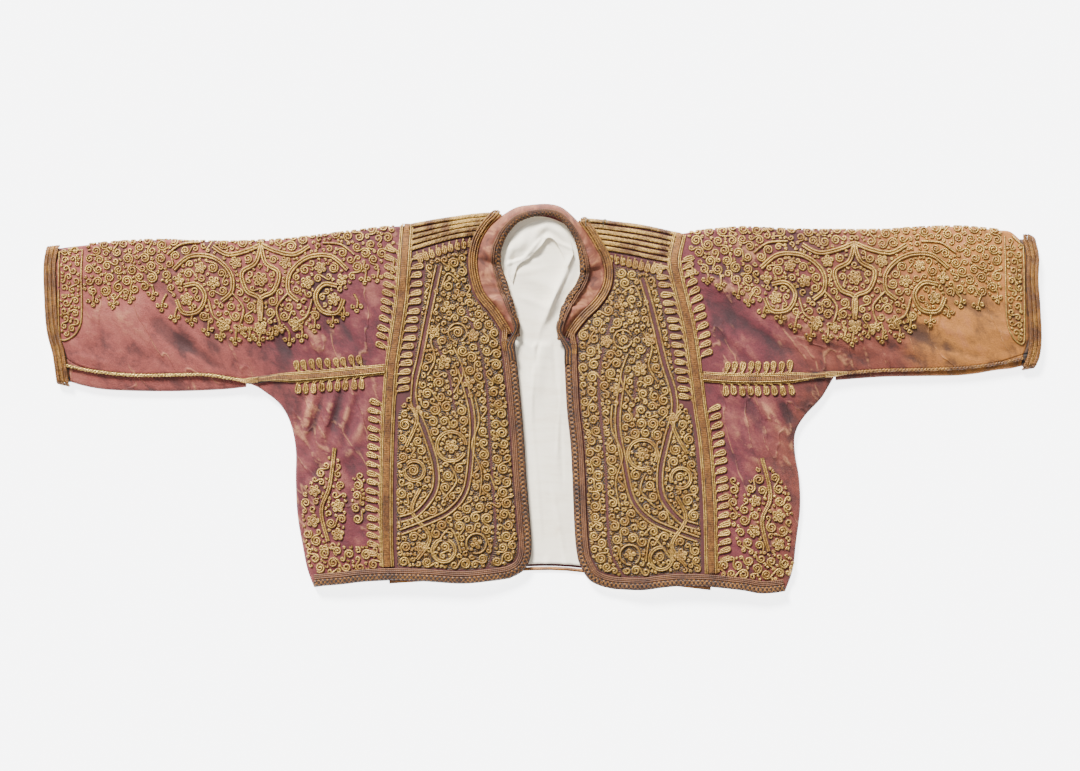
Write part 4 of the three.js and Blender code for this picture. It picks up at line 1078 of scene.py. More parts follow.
def braid_lines(side):
    """The middle line of each braid of one side."""
    turn, s = SIDES[side], LINES[side]
    upright = [*s["sideSeam"], *s["armhole"][1:], *s["armholeTop"][1:]]
    length = dense(upright)[1][-1]
    under = s["underarm"][::-1]
    reach = dense(under)[1][-1]
    edge = joined(spaced(s["hemSide"][::-1], 40), spaced(s["hemFront"], 50),
                  spaced(s["frontEdge"], 110))
    edge = even(shifted(edge, BRAIDS["edge"]["inset"] * turn), 3.0)
    edge = meet(edge, start=edge[0] + [turn * 2, 0], reach=5)
    neck = joined(spaced(s["neckline"], 40), spaced(s["yokeNeck"], 8))
    neck = even(shifted(neck, BRAIDS["neck"]["inset"] * turn), 3.0)[2:-2]
    return {
        "seam": cut_line(upright, 17 / length, 0.985),
        "underarm": cut_line(under, 8.0 / reach, 0.995),
        "sleeve": cut_line(s["sleeveSeam"], 0.07, 1.0),
        "edge": edge, "neck": neck,
    }


def ribbon(name, line, kind, finish):
    b = BRAIDS[kind]
    t = np.linspace(-0.5, 0.5, 7)
    plan = line[:, None] + left_of(line)[:, None] * (t * b["width"])[None, :, None]
    crown = 0.4 * (1 - (2 * t) ** 2)
    points = lying(plan, b["lift"] + b["thick"])
    points[..., 2] += crown
    wall = np.broadcast_to(b["thick"] + crown, points.shape[:2])
    return shell(name, points, wall, finish, finish)


# ---------------------------------------------------------------- couched cord
CORD = 1.26  # half the thickness of a cord
LAID = 0.75  # how high a cord's middle lies over the cloth
BEAD = 2.7  # coils with a smaller radius are single rings
LINK = 17.0  # coils nearer to each other than this are joined
TURN = math.radians(32)  # between the points of a coil
TURN_PITCH = 2.9  # between the turns of a coil
COILS = ((5.8, 7.0), (4.7, 5.7), (3.6, 4.6), (1.9, 2.9))  # least and greatest radius of each


def cord_tree():
    """Geometry Nodes: lines with a 'size' at each point become round cords."""
    tree = bpy.data.node_groups.get("couched cord")
    if tree:
        return tree
    tree = bpy.data.node_groups.new("couched cord", "GeometryNodeTree")
    for name, kind, way in (("Geometry", "NodeSocketGeometry", "INPUT"),
                            ("Sides", "NodeSocketInt", "INPUT"),
                            ("Thickness", "NodeSocketFloat", "INPUT"),
                            ("Finish", "NodeSocketMaterial", "INPUT"),
                            ("Geometry", "NodeSocketGeometry", "OUTPUT")):
        tree.interface.new_socket(name, in_out=way, socket_type=kind)
    g = Graph(tree)
    given = tree.nodes.new("NodeGroupInput")
    lines, sides, thick, finish = (Wire(g, given.outputs[k]) for k in range(4))
    size = g.node("GeometryNodeInputNamedAttribute", {"Name": "size"}, data_type="FLOAT")
    curve = g.node("GeometryNodeMeshToCurve", {"Mesh": lines})
    length = g.node("GeometryNodeSplineParameter", out="Length")

    def store(geometry, name, value, kind):
        return g.node("GeometryNodeStoreNamedAttribute",
                      {"Geometry": geometry, "Name": name, "Value": value}, data_type=kind,
                      domain="POINT")

    curve = store(curve, "along", length, "FLOAT")
    ring = g.node("GeometryNodeCurvePrimitiveCircle", {"Resolution": sides, "Radius": 1.0},
                  mode="RADIUS")
    ring = store(ring, "round", g.node("GeometryNodeInputPosition"), "FLOAT_VECTOR")
    tube = g.node("GeometryNodeCurveToMesh",
                  {"Curve": curve, "Profile Curve": ring, "Scale": size * thick,
                   "Fill Caps": True})
    tube = g.node("GeometryNodeSetShadeSmooth", {"Geometry": tube})
    tube = g.node("GeometryNodeRealizeInstances", {"Geometry": tube})
    tube = g.node("GeometryNodeSetMaterial", {"Geometry": tube, "Material": finish})
    g.node("NodeGroupOutput", {"Geometry": tube})
    return tree


class Work:
    """Couched cords of one piece, drawn in the plane and laid on the cloth all together."""

    def __init__(self, seed=1):
        self.rng = np.random.default_rng(seed)
        self.flat, self.free = [], []

    def lay(self, points, size=CORD, lift=LAID):
        """A cord along plan points; lift is its middle's height over the cloth."""
        points = np.asarray(points, float)
        if len(points) > 1:
            self.flat.append((points, np.broadcast_to(np.asarray(lift, float), len(points)),
                              np.broadcast_to(np.asarray(size, float), len(points))))

    def hang(self, points, size=CORD):
        """A cord along points that are already in space."""
        self.free.append((np.asarray(points, float), np.full(len(points), float(size))))

    def finish(self, name, finish, sides=5):
        """Makes the cords' mesh object."""
        laid = []
        if self.flat:
            points, lifts, _ = zip(*self.flat)
            laid = [draped(np.vstack(points), np.concatenate(lifts))]
        verts = placed(np.vstack(laid + [points for points, _ in self.free]))
        sizes = [cord[-1] for cord in self.flat + self.free]
        goes_on = np.ones(len(verts), bool)
        goes_on[np.cumsum([len(size) for size in sizes]) - 1] = False
        start = np.nonzero(goes_on)[0]
        edges = np.stack([start, start + 1], 1)
        mesh = bpy.data.meshes.new(name + "_lines")
        mesh.from_pydata(verts.tolist(), edges.tolist(), [])
        mark(mesh, "size", np.concatenate(sizes) * MM)
        line = linked(name + "_lines", mesh)
        steps = line.modifiers.new("cord", "NODES")
        steps.node_group = cord_tree()
        keys = {item.name: item.identifier for item in steps.node_group.interface.items_tree
                if item.in_out == "INPUT"}
        steps[keys["Sides"]] = sides
        steps[keys["Thickness"]] = bpy.context.scene.jacket_sizes.cord_radius / (CORD * MM)
        steps[keys["Finish"]] = finish_of(finish)
        graph = bpy.context.evaluated_depsgraph_get()
        graph.update()
        made = bpy.data.meshes.new_from_object(line.evaluated_get(graph),
                                               preserve_all_data_layers=True, depsgraph=graph)
        bpy.data.objects.remove(line)
        made.name = name
        return linked(name, made)


# ---- motifs of the couched work, each drawn in the plane
def spiral(centre, radius, end, hand, turns=None, inner=0.7):
    """From the middle outward, leaving the circle at the angle 'end'."""
    turns = turns or max(1.0, (radius - inner) / TURN_PITCH)
    n = max(6, int(turns * 2 * math.pi / TURN))
    t = np.linspace(0, 1, n + 1)
    angle = end - hand * (1 - t) * turns * 2 * math.pi
    r = inner + (radius - inner) * t ** 0.85
    return np.stack([centre[0] + r * np.cos(angle), centre[1] + r * np.sin(angle)], 1)


def curl(work, centre, radius, size=CORD, lift=LAID):
    end, hand = work.rng.uniform(0, 2 * math.pi), work.rng.choice([-1, 1])
    work.lay(spiral(centre, radius - size, end, hand), size, lift)


def scroll(work, a, ra, b, rb, size=CORD, lift=LAID):
    """Two coils joined by one cord: out of the first, across, and into the second."""
    hand = work.rng.choice([-1, 1])
    a, b = np.asarray(a), np.asarray(b)
    gap = b - a
    reach = max(np.hypot(*gap), 1e-6)
    way = math.atan2(gap[1], gap[0])
    ra, rb = ra - size, rb - size
    open_ = math.acos(min(1.0, (ra + rb) / reach))
    out = spiral(a, ra, way - hand * open_, hand)
    into = spiral(b, rb, way + math.pi - hand * open_, hand)[::-1]
    work.lay(np.vstack([out, into]), size, lift)


def flower(work, centre, radius, petals, turn, size=CORD, lift=0.9):
    """A ring of small coils round one more."""
    petal = radius * 0.40
    for k in range(petals):
        a = turn + 2 * math.pi * k / petals
        c = centre + (radius - petal) * np.array([math.cos(a), math.sin(a)])
        work.lay(spiral(c, petal - size * 0.4, a + math.pi, 1, turns=1.35, inner=0.9), size, lift)
    curl(work, centre, radius * 0.30 + size * 0.6, size, lift + 0.7)


def ring_line(centre, radius, start, sweep):
    n = max(8, int(sweep * radius / 2.6))
    a = start + np.linspace(0, sweep, n + 1)
    return np.stack([centre[0] + radius * np.cos(a), centre[1] + radius * np.sin(a)], 1)


def strands(work, line, count, size=CORD, lift=LAID):
    """Cords side by side along a line."""
    for k in range(count):
        work.lay(shifted(line, (k - (count - 1) / 2) * size * 1.95), size, lift)


def leaf(work, base, way, length, width, bend, size=1.3, lift=0.85):
    """A filled leaf: out along one edge, round the tip, back, and up the middle."""
    way = unit(np.asarray(way, float))
    side = left(way)
    half = width / 2 - size
    tip = length - half - size
    grown = lambda v: half * min(1.0, 0.30 + 0.85 * v / tip)
    path = [(v, -grown(v)) for v in (0, 3.0, 6.0, 9.0, tip)]
    path += [(tip + half * math.cos(a), half * math.sin(a)) for a in (-1.0, -0.35, 0.35, 1.0)]
    path += [(v, grown(v)) for v in (tip, 9.0, 6.0, 4.0)]
    path += [(3.8, half * 0.1), (5.4, -0.1), (8.5, 0), (tip + 1.3, 0)]
    points = [np.asarray(base) + way * u + side * (w + bend * (u / length) ** 2 * length)
              for u, w in path]
    work.lay(points, size, lift)


def off_lines(points, lines):
    """Distance of each point to the nearest of some lines, each with its own half width."""
    return np.minimum.reduce([nearest([np.asarray(line, float)], points) - half
                              for line, half in lines])


def inside_of(points, outline):
    """Whether each point is inside the outline."""
    x, y = points.T
    a, b = outline, np.roll(outline, -1, axis=0)
    hit = np.zeros(len(points), bool)
    for (x0, y0), (x1, y1) in zip(a, b):
        cross = (y0 > y) != (y1 > y)
        hit ^= cross & (x < (x1 - x0) * (y - y0) / (y1 - y0 + 1e-12) + x0)
    return hit


def fill(work, outline, keep_out, taken, tries, sizes=COILS, gap=0.0, linked=0.9, swell=1.1,
         past=None):
    """Packs coils into an outline, large ones first, clear of lines and of the circles taken.

    Near ones are joined into scrolls. 'past' is how far inside the turned folds they stay."""
    outline = np.asarray(outline, float)
    lo, hi = outline.min(0), outline.max(0)
    least = sizes[-1][0]
    p = work.rng.uniform(lo, hi, (tries, 2))
    room = nearest([np.vstack([outline, outline[:1]])], p)
    ok = inside_of(p, outline) & (room > least)
    p, room = p[ok], room[ok]
    if past is not None:
        room = np.where(GROUND.look(GROUND.fold, *p.T) > past, room, 0)
    if keep_out:
        room = np.minimum(room, off_lines(p, keep_out))
    ok = room > least
    p, room = p[ok], room[ok]
    kept = n = len(taken)
    cc, rr = np.zeros((len(p) + kept, 2)), np.zeros(len(p) + kept)
    for k, c in enumerate(taken):
        cc[k], rr[k] = c[:2], c[2]
    clear = room.copy()
    for k in range(kept):
        clear = np.minimum(clear, np.hypot(*(p - cc[k]).T) - rr[k] - gap)
    for small, large in sizes:
        for i in work.rng.permutation(np.nonzero(clear >= small)[0]):
            if clear[i] < small:
                continue
            r = min(clear[i], work.rng.uniform(small, large))
            cc[n], rr[n] = p[i], r
            n += 1
            clear = np.minimum(clear, np.hypot(*(p - p[i]).T) - r - gap)
    cc, rr = cc[kept:n], rr[kept:n] * swell
    free = np.ones(len(cc), bool)
    for i in work.rng.permutation(len(cc)):
        if not free[i]:
            continue
        free[i] = False
        if rr[i] < BEAD:
            work.lay(ring_line(cc[i], max(rr[i] - CORD * 0.9, 0.7), work.rng.uniform(0, 6), 5.0))
            continue
        d = np.hypot(*(cc - cc[i]).T)
        d[~free | (rr < BEAD)] = 1e9
        j = int(d.argmin())
        if d[j] < LINK and work.rng.random() < linked:
            free[j] = False
            scroll(work, cc[i], rr[i], cc[j], rr[j])
        else:
            curl(work, cc[i], rr[i])


def plait(work, line, width, pitch, lift, rise, step, start, size=1.15):
    """Three strands that weave from side to side, over and under each other."""
    line = even(line, step)
    run = lengths(line)
    side = left_of(line)
    for k in range(3):
        a = 2 * math.pi * (run / pitch + k / 3) + start
        work.lay(line + side * (np.sin(a) * (width / 2 - size))[:, None], size,
                 lift + rise * (0.5 + 0.5 * np.sin(2 * a)))


# ---- where the couched work of each piece lies
def warp_of(side):
    """Front plan coordinates: u from the side seam to the front edge, v from hem to yoke."""
    grid = front_plan(side)
    rows = grid.shape[0] - 1

    def at(points):
        p = np.asarray(points, float)
        u, v = np.clip(p[:, 0], 0, 1), np.clip(p[:, 1], 0, 1) * rows
        i = np.minimum(v.astype(int), rows - 1)
        j = np.clip(np.searchsorted(ACROSS, u, side="right") - 1, 0, len(ACROSS) - 2)
        t = (u - ACROSS[j]) / (ACROSS[j + 1] - ACROSS[j])
        return blend(grid, i, j, (v - i)[:, None], t[:, None])
    return at


def flowing(rows, step=2.6):
    return even(dense(rows)[0], step)


# All of a front's drawing, in u and v. First the bare lines, each with its half width.
CHANNELS = [
    ([(.50, .93), (.42, .86), (.32, .78), (.24, .68), (.19, .60), (.20, .54), (.28, .46),
      (.35, .37), (.34, .30), (.22, .23), (.10, .20)], 1.7),
    ([(.56, .62), (.63, .50), (.61, .40), (.56, .31), (.44, .25), (.26, .20), (.10, .16)], 1.3),
    ([(.74, .78), (.745, .6), (.75, .4), (.75, .2), (.74, .05)], 1.0),
    ([(.36, .72), (.46, .62), (.50, .52)], 1.0),
]
# Rings: middle, radius, number of cords. Stems: line, number of cords. Flowers: middle,
# radius, petals. The column is of single rings beside the front edge.
RINGS = [(.47, .42, 17.5, 2), (.40, .125, 13.5, 2), (.62, .17, 12.0, 1), (.20, .35, 12.0, 2),
         (.58, .72, 11.0, 1)]
COLUMN = [(.87, v, 9.6) for v in (.085, .145, .205, .265, .325, .385, .445, .505, .565, .625)]
STEMS = [
    ([(.22, .08), (.30, .16), (.18, .23), (.24, .30)], 2),
    ([(.14, .42), (.22, .50), (.12, .56)], 2),
    ([(.40, .28), (.50, .33), (.46, .37)], 1),
    ([(.52, .86), (.62, .90), (.76, .87)], 1),
    ([(.50, .56), (.58, .61), (.52, .68)], 1),
    ([(.33, .12), (.44, .20), (.52, .13)], 1),
    ([(.66, .30), (.68, .36), (.62, .42), (.68, .48), (.66, .54)], 1),
    ([(.30, .62), (.36, .66), (.34, .72), (.44, .76)], 1),
]
FLOWERS = [(.47, .42, 9.0, 5), (.43, .645, 9.5, 5), (.56, .80, 9.5, 4), (.72, .83, 8.5, 4),
           (.37, .74, 8.5, 5), (.62, .58, 8.0, 4), (.24, .12, 8.0, 5), (.62, .17, 7.5, 4),
           (.70, .70, 8.0, 5), (.22, .52, 7.5, 4)]


def front_limits(side):
    """Lines that the couched field of a front keeps clear of, each with its half width."""
    s, at = LINES[side], warp_of(side)
    seam = front_plan(side)[:, 0]
    lobed = seam[(seam[:, 1] > 4) & (seam[:, 1] < 160)]
    limits = [(seam, 12.0), (lobed, 25.6),
              (spaced(s["frontEdge"], 60), 16.8), (spaced(s["neckline"], 20), 11.0),
              (spaced(s["hemFront"], 30), 16.5), (spaced(s["yokeSeam"], 12), 16.5)]
    return limits + [(flowing(at(rows)), half) for rows, half in CHANNELS]


def front_work(side, seed):
    """The densely couched field of one front."""
    turn, s = SIDES[side], LINES[side]
    at, work = warp_of(side), Work(seed)
    grid = front_plan(side)
    outline = np.vstack([grid[0, :-1], grid[:-1, -1], grid[-1, :0:-1], grid[:0:-1, 0]])
    keep = front_limits(side)
    borders, taken = keep[:6], []
    for rows, count in STEMS:
        line = flowing(at(rows))
        line = line[off_lines(line, borders) > 1.5]
        if len(line) < 4:
            continue
        strands(work, line, count, CORD, 0.9)
        keep.append((line, count * 1.2 + 0.1))
        for end, before in ((line[0], line[2]), (line[-1], line[-3])):
            way = unit(end - before)
            for one in (-1, 1):
                c = end + way * 3.4 + left(way) * 4.3 * one
                curl(work, c, 4.5, CORD, 1.0)
                taken.append((*c, 4.2))
    for rows, half in CHANNELS[:2]:
        line = flowing(at(rows))
        for one in (-1, 1):
            rim = shifted(line, one * (half + 1.7))
            rim = rim[off_lines(rim, borders) > 0.5]
            work.lay(rim, CORD, 0.9)
            keep.append((rim, 1.2))
    for u, v, r, petals in FLOWERS:
        c = at([(u, v)])[0]
        if off_lines(c[None], borders)[0] < r * 0.8:
            continue
        flower(work, c, r, petals, work.rng.uniform(0, 6))
        taken.append((*c, r + 0.2))
    for u, v, r, count in RINGS:
        c = at([(u, v)])[0]
        line = ring_line(c, r, work.rng.uniform(0, 6), 5.7)
        strands(work, line, count, 1.2, 1.2)
        keep.append((line, count * 1.15 + 0.3))
    for u, v, r in COLUMN:
        c = at([(u, v)])[0]
        if off_lines(c[None], borders[2:])[0] < r * 0.6:
            continue
        line = ring_line(c, r, work.rng.uniform(0, 6), 5.6)
        work.lay(line, 1.15, 1.0)
        keep.append((line, 1.2))
    fill(work, outline, keep, taken, 70000, swell=1.14)
    # leaves that hang from the yoke
    yoke = even(spaced(s["yokeSeam"], 40), 1.0)
    for k, share in enumerate(np.linspace(0.17, 0.86, 9)):
        p = yoke[int(share * (len(yoke) - 1))]
        leaf(work, p + [0, -2.2], (0.30 * turn - 0.06 * turn * k, -1), 15.0 - 0.35 * k, 7.6,
             0.05 * turn)
    return work


def lobes(work, line, side, start, end, half, pitch=10.6, lean=0.36, length=17.0):
    """Slanting leaves beside a braid, on one side of its line and between two shares of it."""
    line = even(line, 1.0)
    d, aside = along_of(line), left_of(line) * side
    n = len(line)
    for k in range(int((end - start) * n / pitch)):
        i = min(n - 2, int((start * n) + (k + 0.5) * pitch))
        out = aside[i]
        way = out + d[i] * lean
        jog = work.rng.normal(0, 0.03, 2)
        leaf(work, line[i] + out * half, way + jog, length + work.rng.normal(0, 0.6),
             8.0 + work.rng.normal(0, 0.3), 0.06 * side)
        # the stalk that runs back beside the braid
        work.lay([line[max(0, i - 6)] + out * (half - 0.4), line[i - 3] + out * (half + 0.2),
                  line[i] + out * (half + 1.6), line[i] + out * (half + 4.0) + d[i] * lean * 4],
                 0.85)


def on_braid(kind, extra=0.0):
    return BRAIDS[kind]["lift"] + BRAIDS[kind]["thick"] + extra


def run_on(line, count, step=3.0):
    """The line drawn out past its end."""
    way = unit(line[-1] - line[-3])
    return np.vstack([line, [line[-1] + way * step * (k + 1) for k in range(count)]])


def seam_work(side, seed):
    """Core, side cords and leaves of the braid from the hem to the shoulder."""
    turn = SIDES[side]
    line = run_on(braid_lines(side)["seam"], 4)
    core, pale = Work(seed), Work(seed + 1)
    base = on_braid("seam")
    for k, off in enumerate((-2.6, -1.3, 0.0, 1.3, 2.6)):
        wave = np.sin(np.arange(len(line)) * (0.9 + 0.13 * k) + k)
        core.lay(shifted(line, off), 0.85, base + 0.25 + 0.075 * wave)
    for off in (-5.1, 5.1):
        pale.lay(shifted(line, off), 1.05, base + 0.25)
    for off in (-7.2, 7.2):
        pale.lay(shifted(line, off), 1.0, 1.0)
    lobes(pale, line, turn, 0.02, 0.49, 8.0)
    lobes(pale, line, turn, 0.62, 0.95, 8.0)
    lobes(pale, line, -turn, 0.50, 0.92, 8.0)
    return core, pale


def underarm_work(side, seed):
    """The underarm's cords, which run together toward the sleeve, and its leaves."""
    line = braid_lines(side)["underarm"]
    core, pale = Work(seed), Work(seed + 1)
    base = on_braid("underarm")
    n = len(line)
    narrow = np.clip(1.15 - 0.75 * smooth((np.arange(n) / n - 0.55) / 0.4), 0.35, 1)[:, None]
    for work, lift, offs in ((core, base + 0.2, (-1.5, 0.0, 1.5)),
                             (pale, base + 0.1, (-3.5, 3.5)), (pale, 0.95, (-5.4, 5.4))):
        for off in offs:
            work.lay(line + left_of(line) * off * narrow, 0.95, lift)
    for one in (-1, 1):
        lobes(pale, line, one, 0.14, 0.68, 6.2, 9.6, 0.22, 15.0)
    seam = braid_lines(side)["sleeve"]
    for off in (-2.4, -0.8, 0.8, 2.4):
        over = dense([line[-5] + [0, off], line[-1] + [0, off], seam[-1] + [0, off * 0.7],
                      seam[-4] + [0, off * 0.4]])[0]
        pale.lay(even(over, 2.6), 1.1, base + 0.9)
    return core, pale


def edge_work(side, seed):
    """A dark plait on the outer edge and three rose cords beside it."""
    turn = SIDES[side]
    line = braid_lines(side)["edge"]
    base = on_braid("edge")
    dark, gold, rosy = Work(seed), Work(seed), Work(seed + 1)
    outer = even(shifted(line, -3.2 * turn), 1.3)
    run = np.arange(len(outer)) * 1.3
    for k in range(4):
        a = 2 * math.pi * (run / 10.4 + k / 4)
        lift = base + 0.1 + 0.9 * (0.5 + 0.5 * np.sin(2 * a + k * math.pi))
        (gold if k % 2 else dark).lay(outer + left_of(outer) * (2.7 * np.sin(a))[:, None], 1.3,
                                      lift)
    for off in (2.0, 4.2, 6.2):
        rosy.lay(even(shifted(line, off * turn), 3.2), 1.12, base + 0.15)
    return dark, gold, rosy


def yoke_work(side, seed):
    """Close rows of plaited gilt along the shoulder, from the arm to the neck."""
    work = Work(seed)
    grid = yoke_plan(side)
    last = grid.shape[1] - 1
    deep = np.linalg.norm(np.diff(grid, axis=1), axis=-1).sum(1).mean()
    rows = int(deep / 6.6)
    for k in range(rows + 1):
        j = (k + 0.45) / rows * last
        j0 = min(int(j), last - 1)
        line = even(grid[:, j0] + (grid[:, j0 + 1] - grid[:, j0]) * (j - j0), 1.2)[2:-2]
        plait(work, line, 5.6, 7.4 + 0.4 * math.sin(k * 2.1), 0.7, 1.0, 1.2, k * 1.7)
    return work


def neck_work(side, seed):
    """Cords beside the neck's seam; three of them run on into the edge braid."""
    work = Work(seed)
    line = run_on(braid_lines(side)["neck"], 3)
    turn = SIDES[side]
    edge = braid_lines(side)["edge"]
    for off, on in ((-2.7, 6.4), (0.0, 4.2), (2.7, 2.0)):
        cord, below = shifted(line, -off * turn), shifted(edge, on * turn)
        bridge = even(dense([below[-6], below[-3], cord[2], cord[4]])[0], 2.6)
        work.lay(cord, 1.15, on_braid("neck", 0.3))
        work.lay(bridge, 1.15, on_braid("edge", 0.4))
    work.lay(shifted(line, -5.6 * turn), 1.35, 0.9)
    return work


def seam_cord_work(side, seed):
    """Two cords twisted round each other along the sleeve's seam."""
    work = Work(seed)
    line = even(braid_lines(side)["sleeve"], 1.3)
    run = np.arange(len(line)) * 1.3
    for k in range(2):
        a = 2 * math.pi * run / 8.5 + math.pi * k
        work.lay(line + left_of(line) * np.sin(a)[:, None], 1.25,
                 on_braid("sleeve") - 0.2 + 0.7 * (1 + np.cos(a)))
    return work


# A sleeve's drawing. "edge" is where the work ends on the bare velvet, and "cuff" the
# outline of the strip at the cuff. The rest, about the middle, is for both sleeves.
SLEEVES = {
    "left": {
        "edge": [(-551, 128), (-535, 120), (-512, 117), (-490, 124), (-471, 128), (-458, 140),
                 (-440, 116), (-420, 100), (-396, 86), (-368, 76), (-335, 68), (-302, 78),
                 (-274, 90), (-250, 108), (-236, 126), (-222, 144), (-206, 152), (-190, 150),
                 (-176, 168)],
        "middle": (-338, 132), "wide": 1.0,
        "cuff": [(-580, 188), (-555, 190), (-553, 150), (-552, 100), (-556, 82), (-566, 72),
                 (-577, 70), (-580, 90)],
    },
    "right": {
        "edge": [(174, 158), (188, 148), (204, 146), (230, 136), (258, 114), (300, 98),
                 (328, 78), (352, 69), (382, 66), (420, 78), (452, 95), (478, 110), (500, 124),
                 (528, 120), (552, 132)],
        "middle": (374, 134), "wide": 1.08,
        "cuff": [(577, 182), (568, 190), (556, 200), (555, 150), (556, 100), (560, 80), (568, 68),
                 (577, 66), (578, 90)],
    },
}
OVER_TOP = 6.5  # how far past the top fold's line the work runs
ARM_STEMS = [
    ([(-104, 22), (-84, 38), (-56, 36), (-36, 18), (-34, -4), (-46, -16)], 2),
    ([(0, 52), (-6, 30), (-22, 18), (-16, -4), (0, -14), (0, -40)], 2),
    ([(-100, -14), (-92, -30), (-74, -28), (-66, -10), (-76, 4), (-92, 2)], 2),
    ([(-58, 50), (-40, 40), (-18, 44), (0, 52)], 2),
    ([(-62, -14), (-56, -34), (-44, -42)], 1),
    ([(-34, -6), (-20, -24), (-24, -44)], 1),
    ([(-112, 40), (-96, 52), (-74, 54)], 1),
]
ARM_FLOWERS = [(0, 10, 9.5, 6), (0, -50, 8.5, 5), (-44, -44, 9.5, 5), (-22, -50, 7.0, 4),
               (-88, -14, 8.5, 5), (-56, 6, 8.5, 5), (-98, 10, 7.5, 4), (-30, 30, 8.0, 5),
               (-72, 24, 7.5, 5)]
# Where sprays hang from the drawing, and how long they are.
ARM_SPRAYS = [(-112, -18, 15), (-98, -30, 13), (-80, -36, 16), (-62, -44, 19), (-48, -56, 14),
              (-30, -58, 17), (-14, -56, 13), (0, -58, 20)]


def spray(work, foot, length, taken, sway=0.0):
    """A short stalk that hangs down and ends in three coils."""
    end = foot + [sway, -length]
    middle = (foot + end) / 2 + [sway * 0.4 + 1.2, 0]
    strands(work, dense([foot, middle, end], 4)[0], 1, 1.4, 1.0)
    for dx, dy in ((0.0, -3.4), (-4.6, 1.2), (4.6, 1.2)):
        c = end + [dx, dy]
        curl(work, c, 3.9, CORD, 0.9)
        taken.append((*c, 3.6))


def mirrored(rows):
    """The rows, and those that are off the middle again on its other side."""
    return [*rows, *[tuple([-r[0], *r[1:]]) for r in rows if abs(r[0]) > 2]]


def sleeve_work(side, seed):
    """The couched group of a sleeve, and the strip at its cuff."""
    s, plan = LINES[side], SLEEVES[side]
    work = Work(seed)
    middle, wide = np.array(plan["middle"], float), plan["wide"]
    spot = lambda x, y: middle + [x * wide, y]
    edge = dense(plan["edge"], 8)[0]
    top = spaced(s["topFold"], 90)
    top = top[(top[:, 0] > edge[:, 0].min()) & (top[:, 0] < edge[:, 0].max())] + [0, OVER_TOP]
    if (edge[-1, 0] - edge[0, 0]) * (top[-1, 0] - top[0, 0]) > 0:
        top = top[::-1]
    outline = np.vstack([edge, top])
    arm = joined(spaced(s["armhole"], 20), spaced(s["armholeTop"], 6))
    keep, taken = [(arm[arm[:, 1] < 158], 27.0), (arm, 10.0)], []
    lines = [(np.array([spot(*p) for p in rows]), n) for rows, n in ARM_STEMS]
    lines += [(np.array([spot(-x, y) for x, y in rows]), n) for rows, n in ARM_STEMS
              if max(abs(x) for x, _ in rows) > 20]
    for rows, count in lines:
        line = flowing(rows)
        strands(work, line, count, 1.5, 1.5)
        keep.append((line, count * 1.4 + 0.4))
        way = unit(rows[-1] - rows[-2])
        for one in (-1, 1):
            c = rows[-1] + way * 4.5 + left(way) * 4.0 * one
            curl(work, c, 4.8, 1.35, 1.2)
            taken.append((*c, 4.8))
    for x, y, r, petals in mirrored(ARM_FLOWERS):
        c = spot(x, y)
        flower(work, c, r, petals, work.rng.uniform(0, 6), lift=1.0)
        taken.append((*c, r + 0.3))
    for x, y, length in mirrored(ARM_SPRAYS):
        spray(work, spot(x, y + length * 0.7), length + work.rng.normal(0, 1.5), taken,
              0.04 * x + work.rng.normal(0, 1.5))
    fill(work, outline, keep, taken, 50000, linked=0.95, swell=1.13)
    # small sprays that hang free below the rest
    for share in (0.03, 0.10, 0.17, 0.23, 0.80, 0.87, 0.93, 0.98):
        c = edge[int(share * (len(edge) - 1))] + [work.rng.normal(0, 2), 5]
        if abs(c[0] - middle[0]) > 118 * wide:
            spray(work, c, work.rng.uniform(10, 15), taken, work.rng.normal(0, 3))
    cuff = np.array(plan["cuff"], float)
    rim = even(dense([*cuff, cuff[0]], 10)[0], 2.6)
    rim = rim[GROUND.look(GROUND.fold, *rim.T) > 5.0]
    # its two ends are where it leaves the top fold
    work.lay(np.roll(rim, -int(np.hypot(*np.diff(rim, axis=0).T).argmax() + 1), axis=0))
    fill(work, cuff, [(rim, 1.3)], [], 24000, ((4.4, 5.2), (3.4, 4.2), (1.9, 3.0)), past=4.0)
    return work


def cuff_work(side, seed):
    """Three plaits round the cuff, the middle one gilt."""
    turn = SIDES[side]
    gilt, dark = Work(seed), Work(seed + 1)
    line = spaced(LINES[side]["cuff"], 60)
    ends = np.array([0, 6.0])
    line = np.vstack([line[:1] + ends, line, line[-1:] - ends])
    for off, work in ((2.6, dark), (7.6, gilt), (12.6, dark)):
        plait(work, line + [turn * off, 0], 6.0, 7.6, LAID, 0.8625, 1.4, off)
    return gilt, dark


# Outlines of the side panels' couched work. The first of each side has a stem with flowers.
PANELS = {
    "left": [
        [(-249, -60), (-240, -84), (-234, -120), (-236, -156), (-246, -180), (-282, -182),
         (-289, -150), (-288, -112), (-268, -84)],
        [(-228, -92), (-214, -90), (-212, -120), (-214, -150), (-226, -150), (-230, -120)],
        [(-285, -180), (-197, -178), (-197, -205), (-271, -210)],
    ],
    "right": [
        [(263, -72), (288, -98), (300, -128), (299, -168), (290, -186), (238, -186), (232, -150),
         (242, -110)],
        [(224, -96), (236, -96), (234, -150), (222, -150)],
        [(213, -190), (296, -188), (289, -218), (213, -214)],
    ],
}


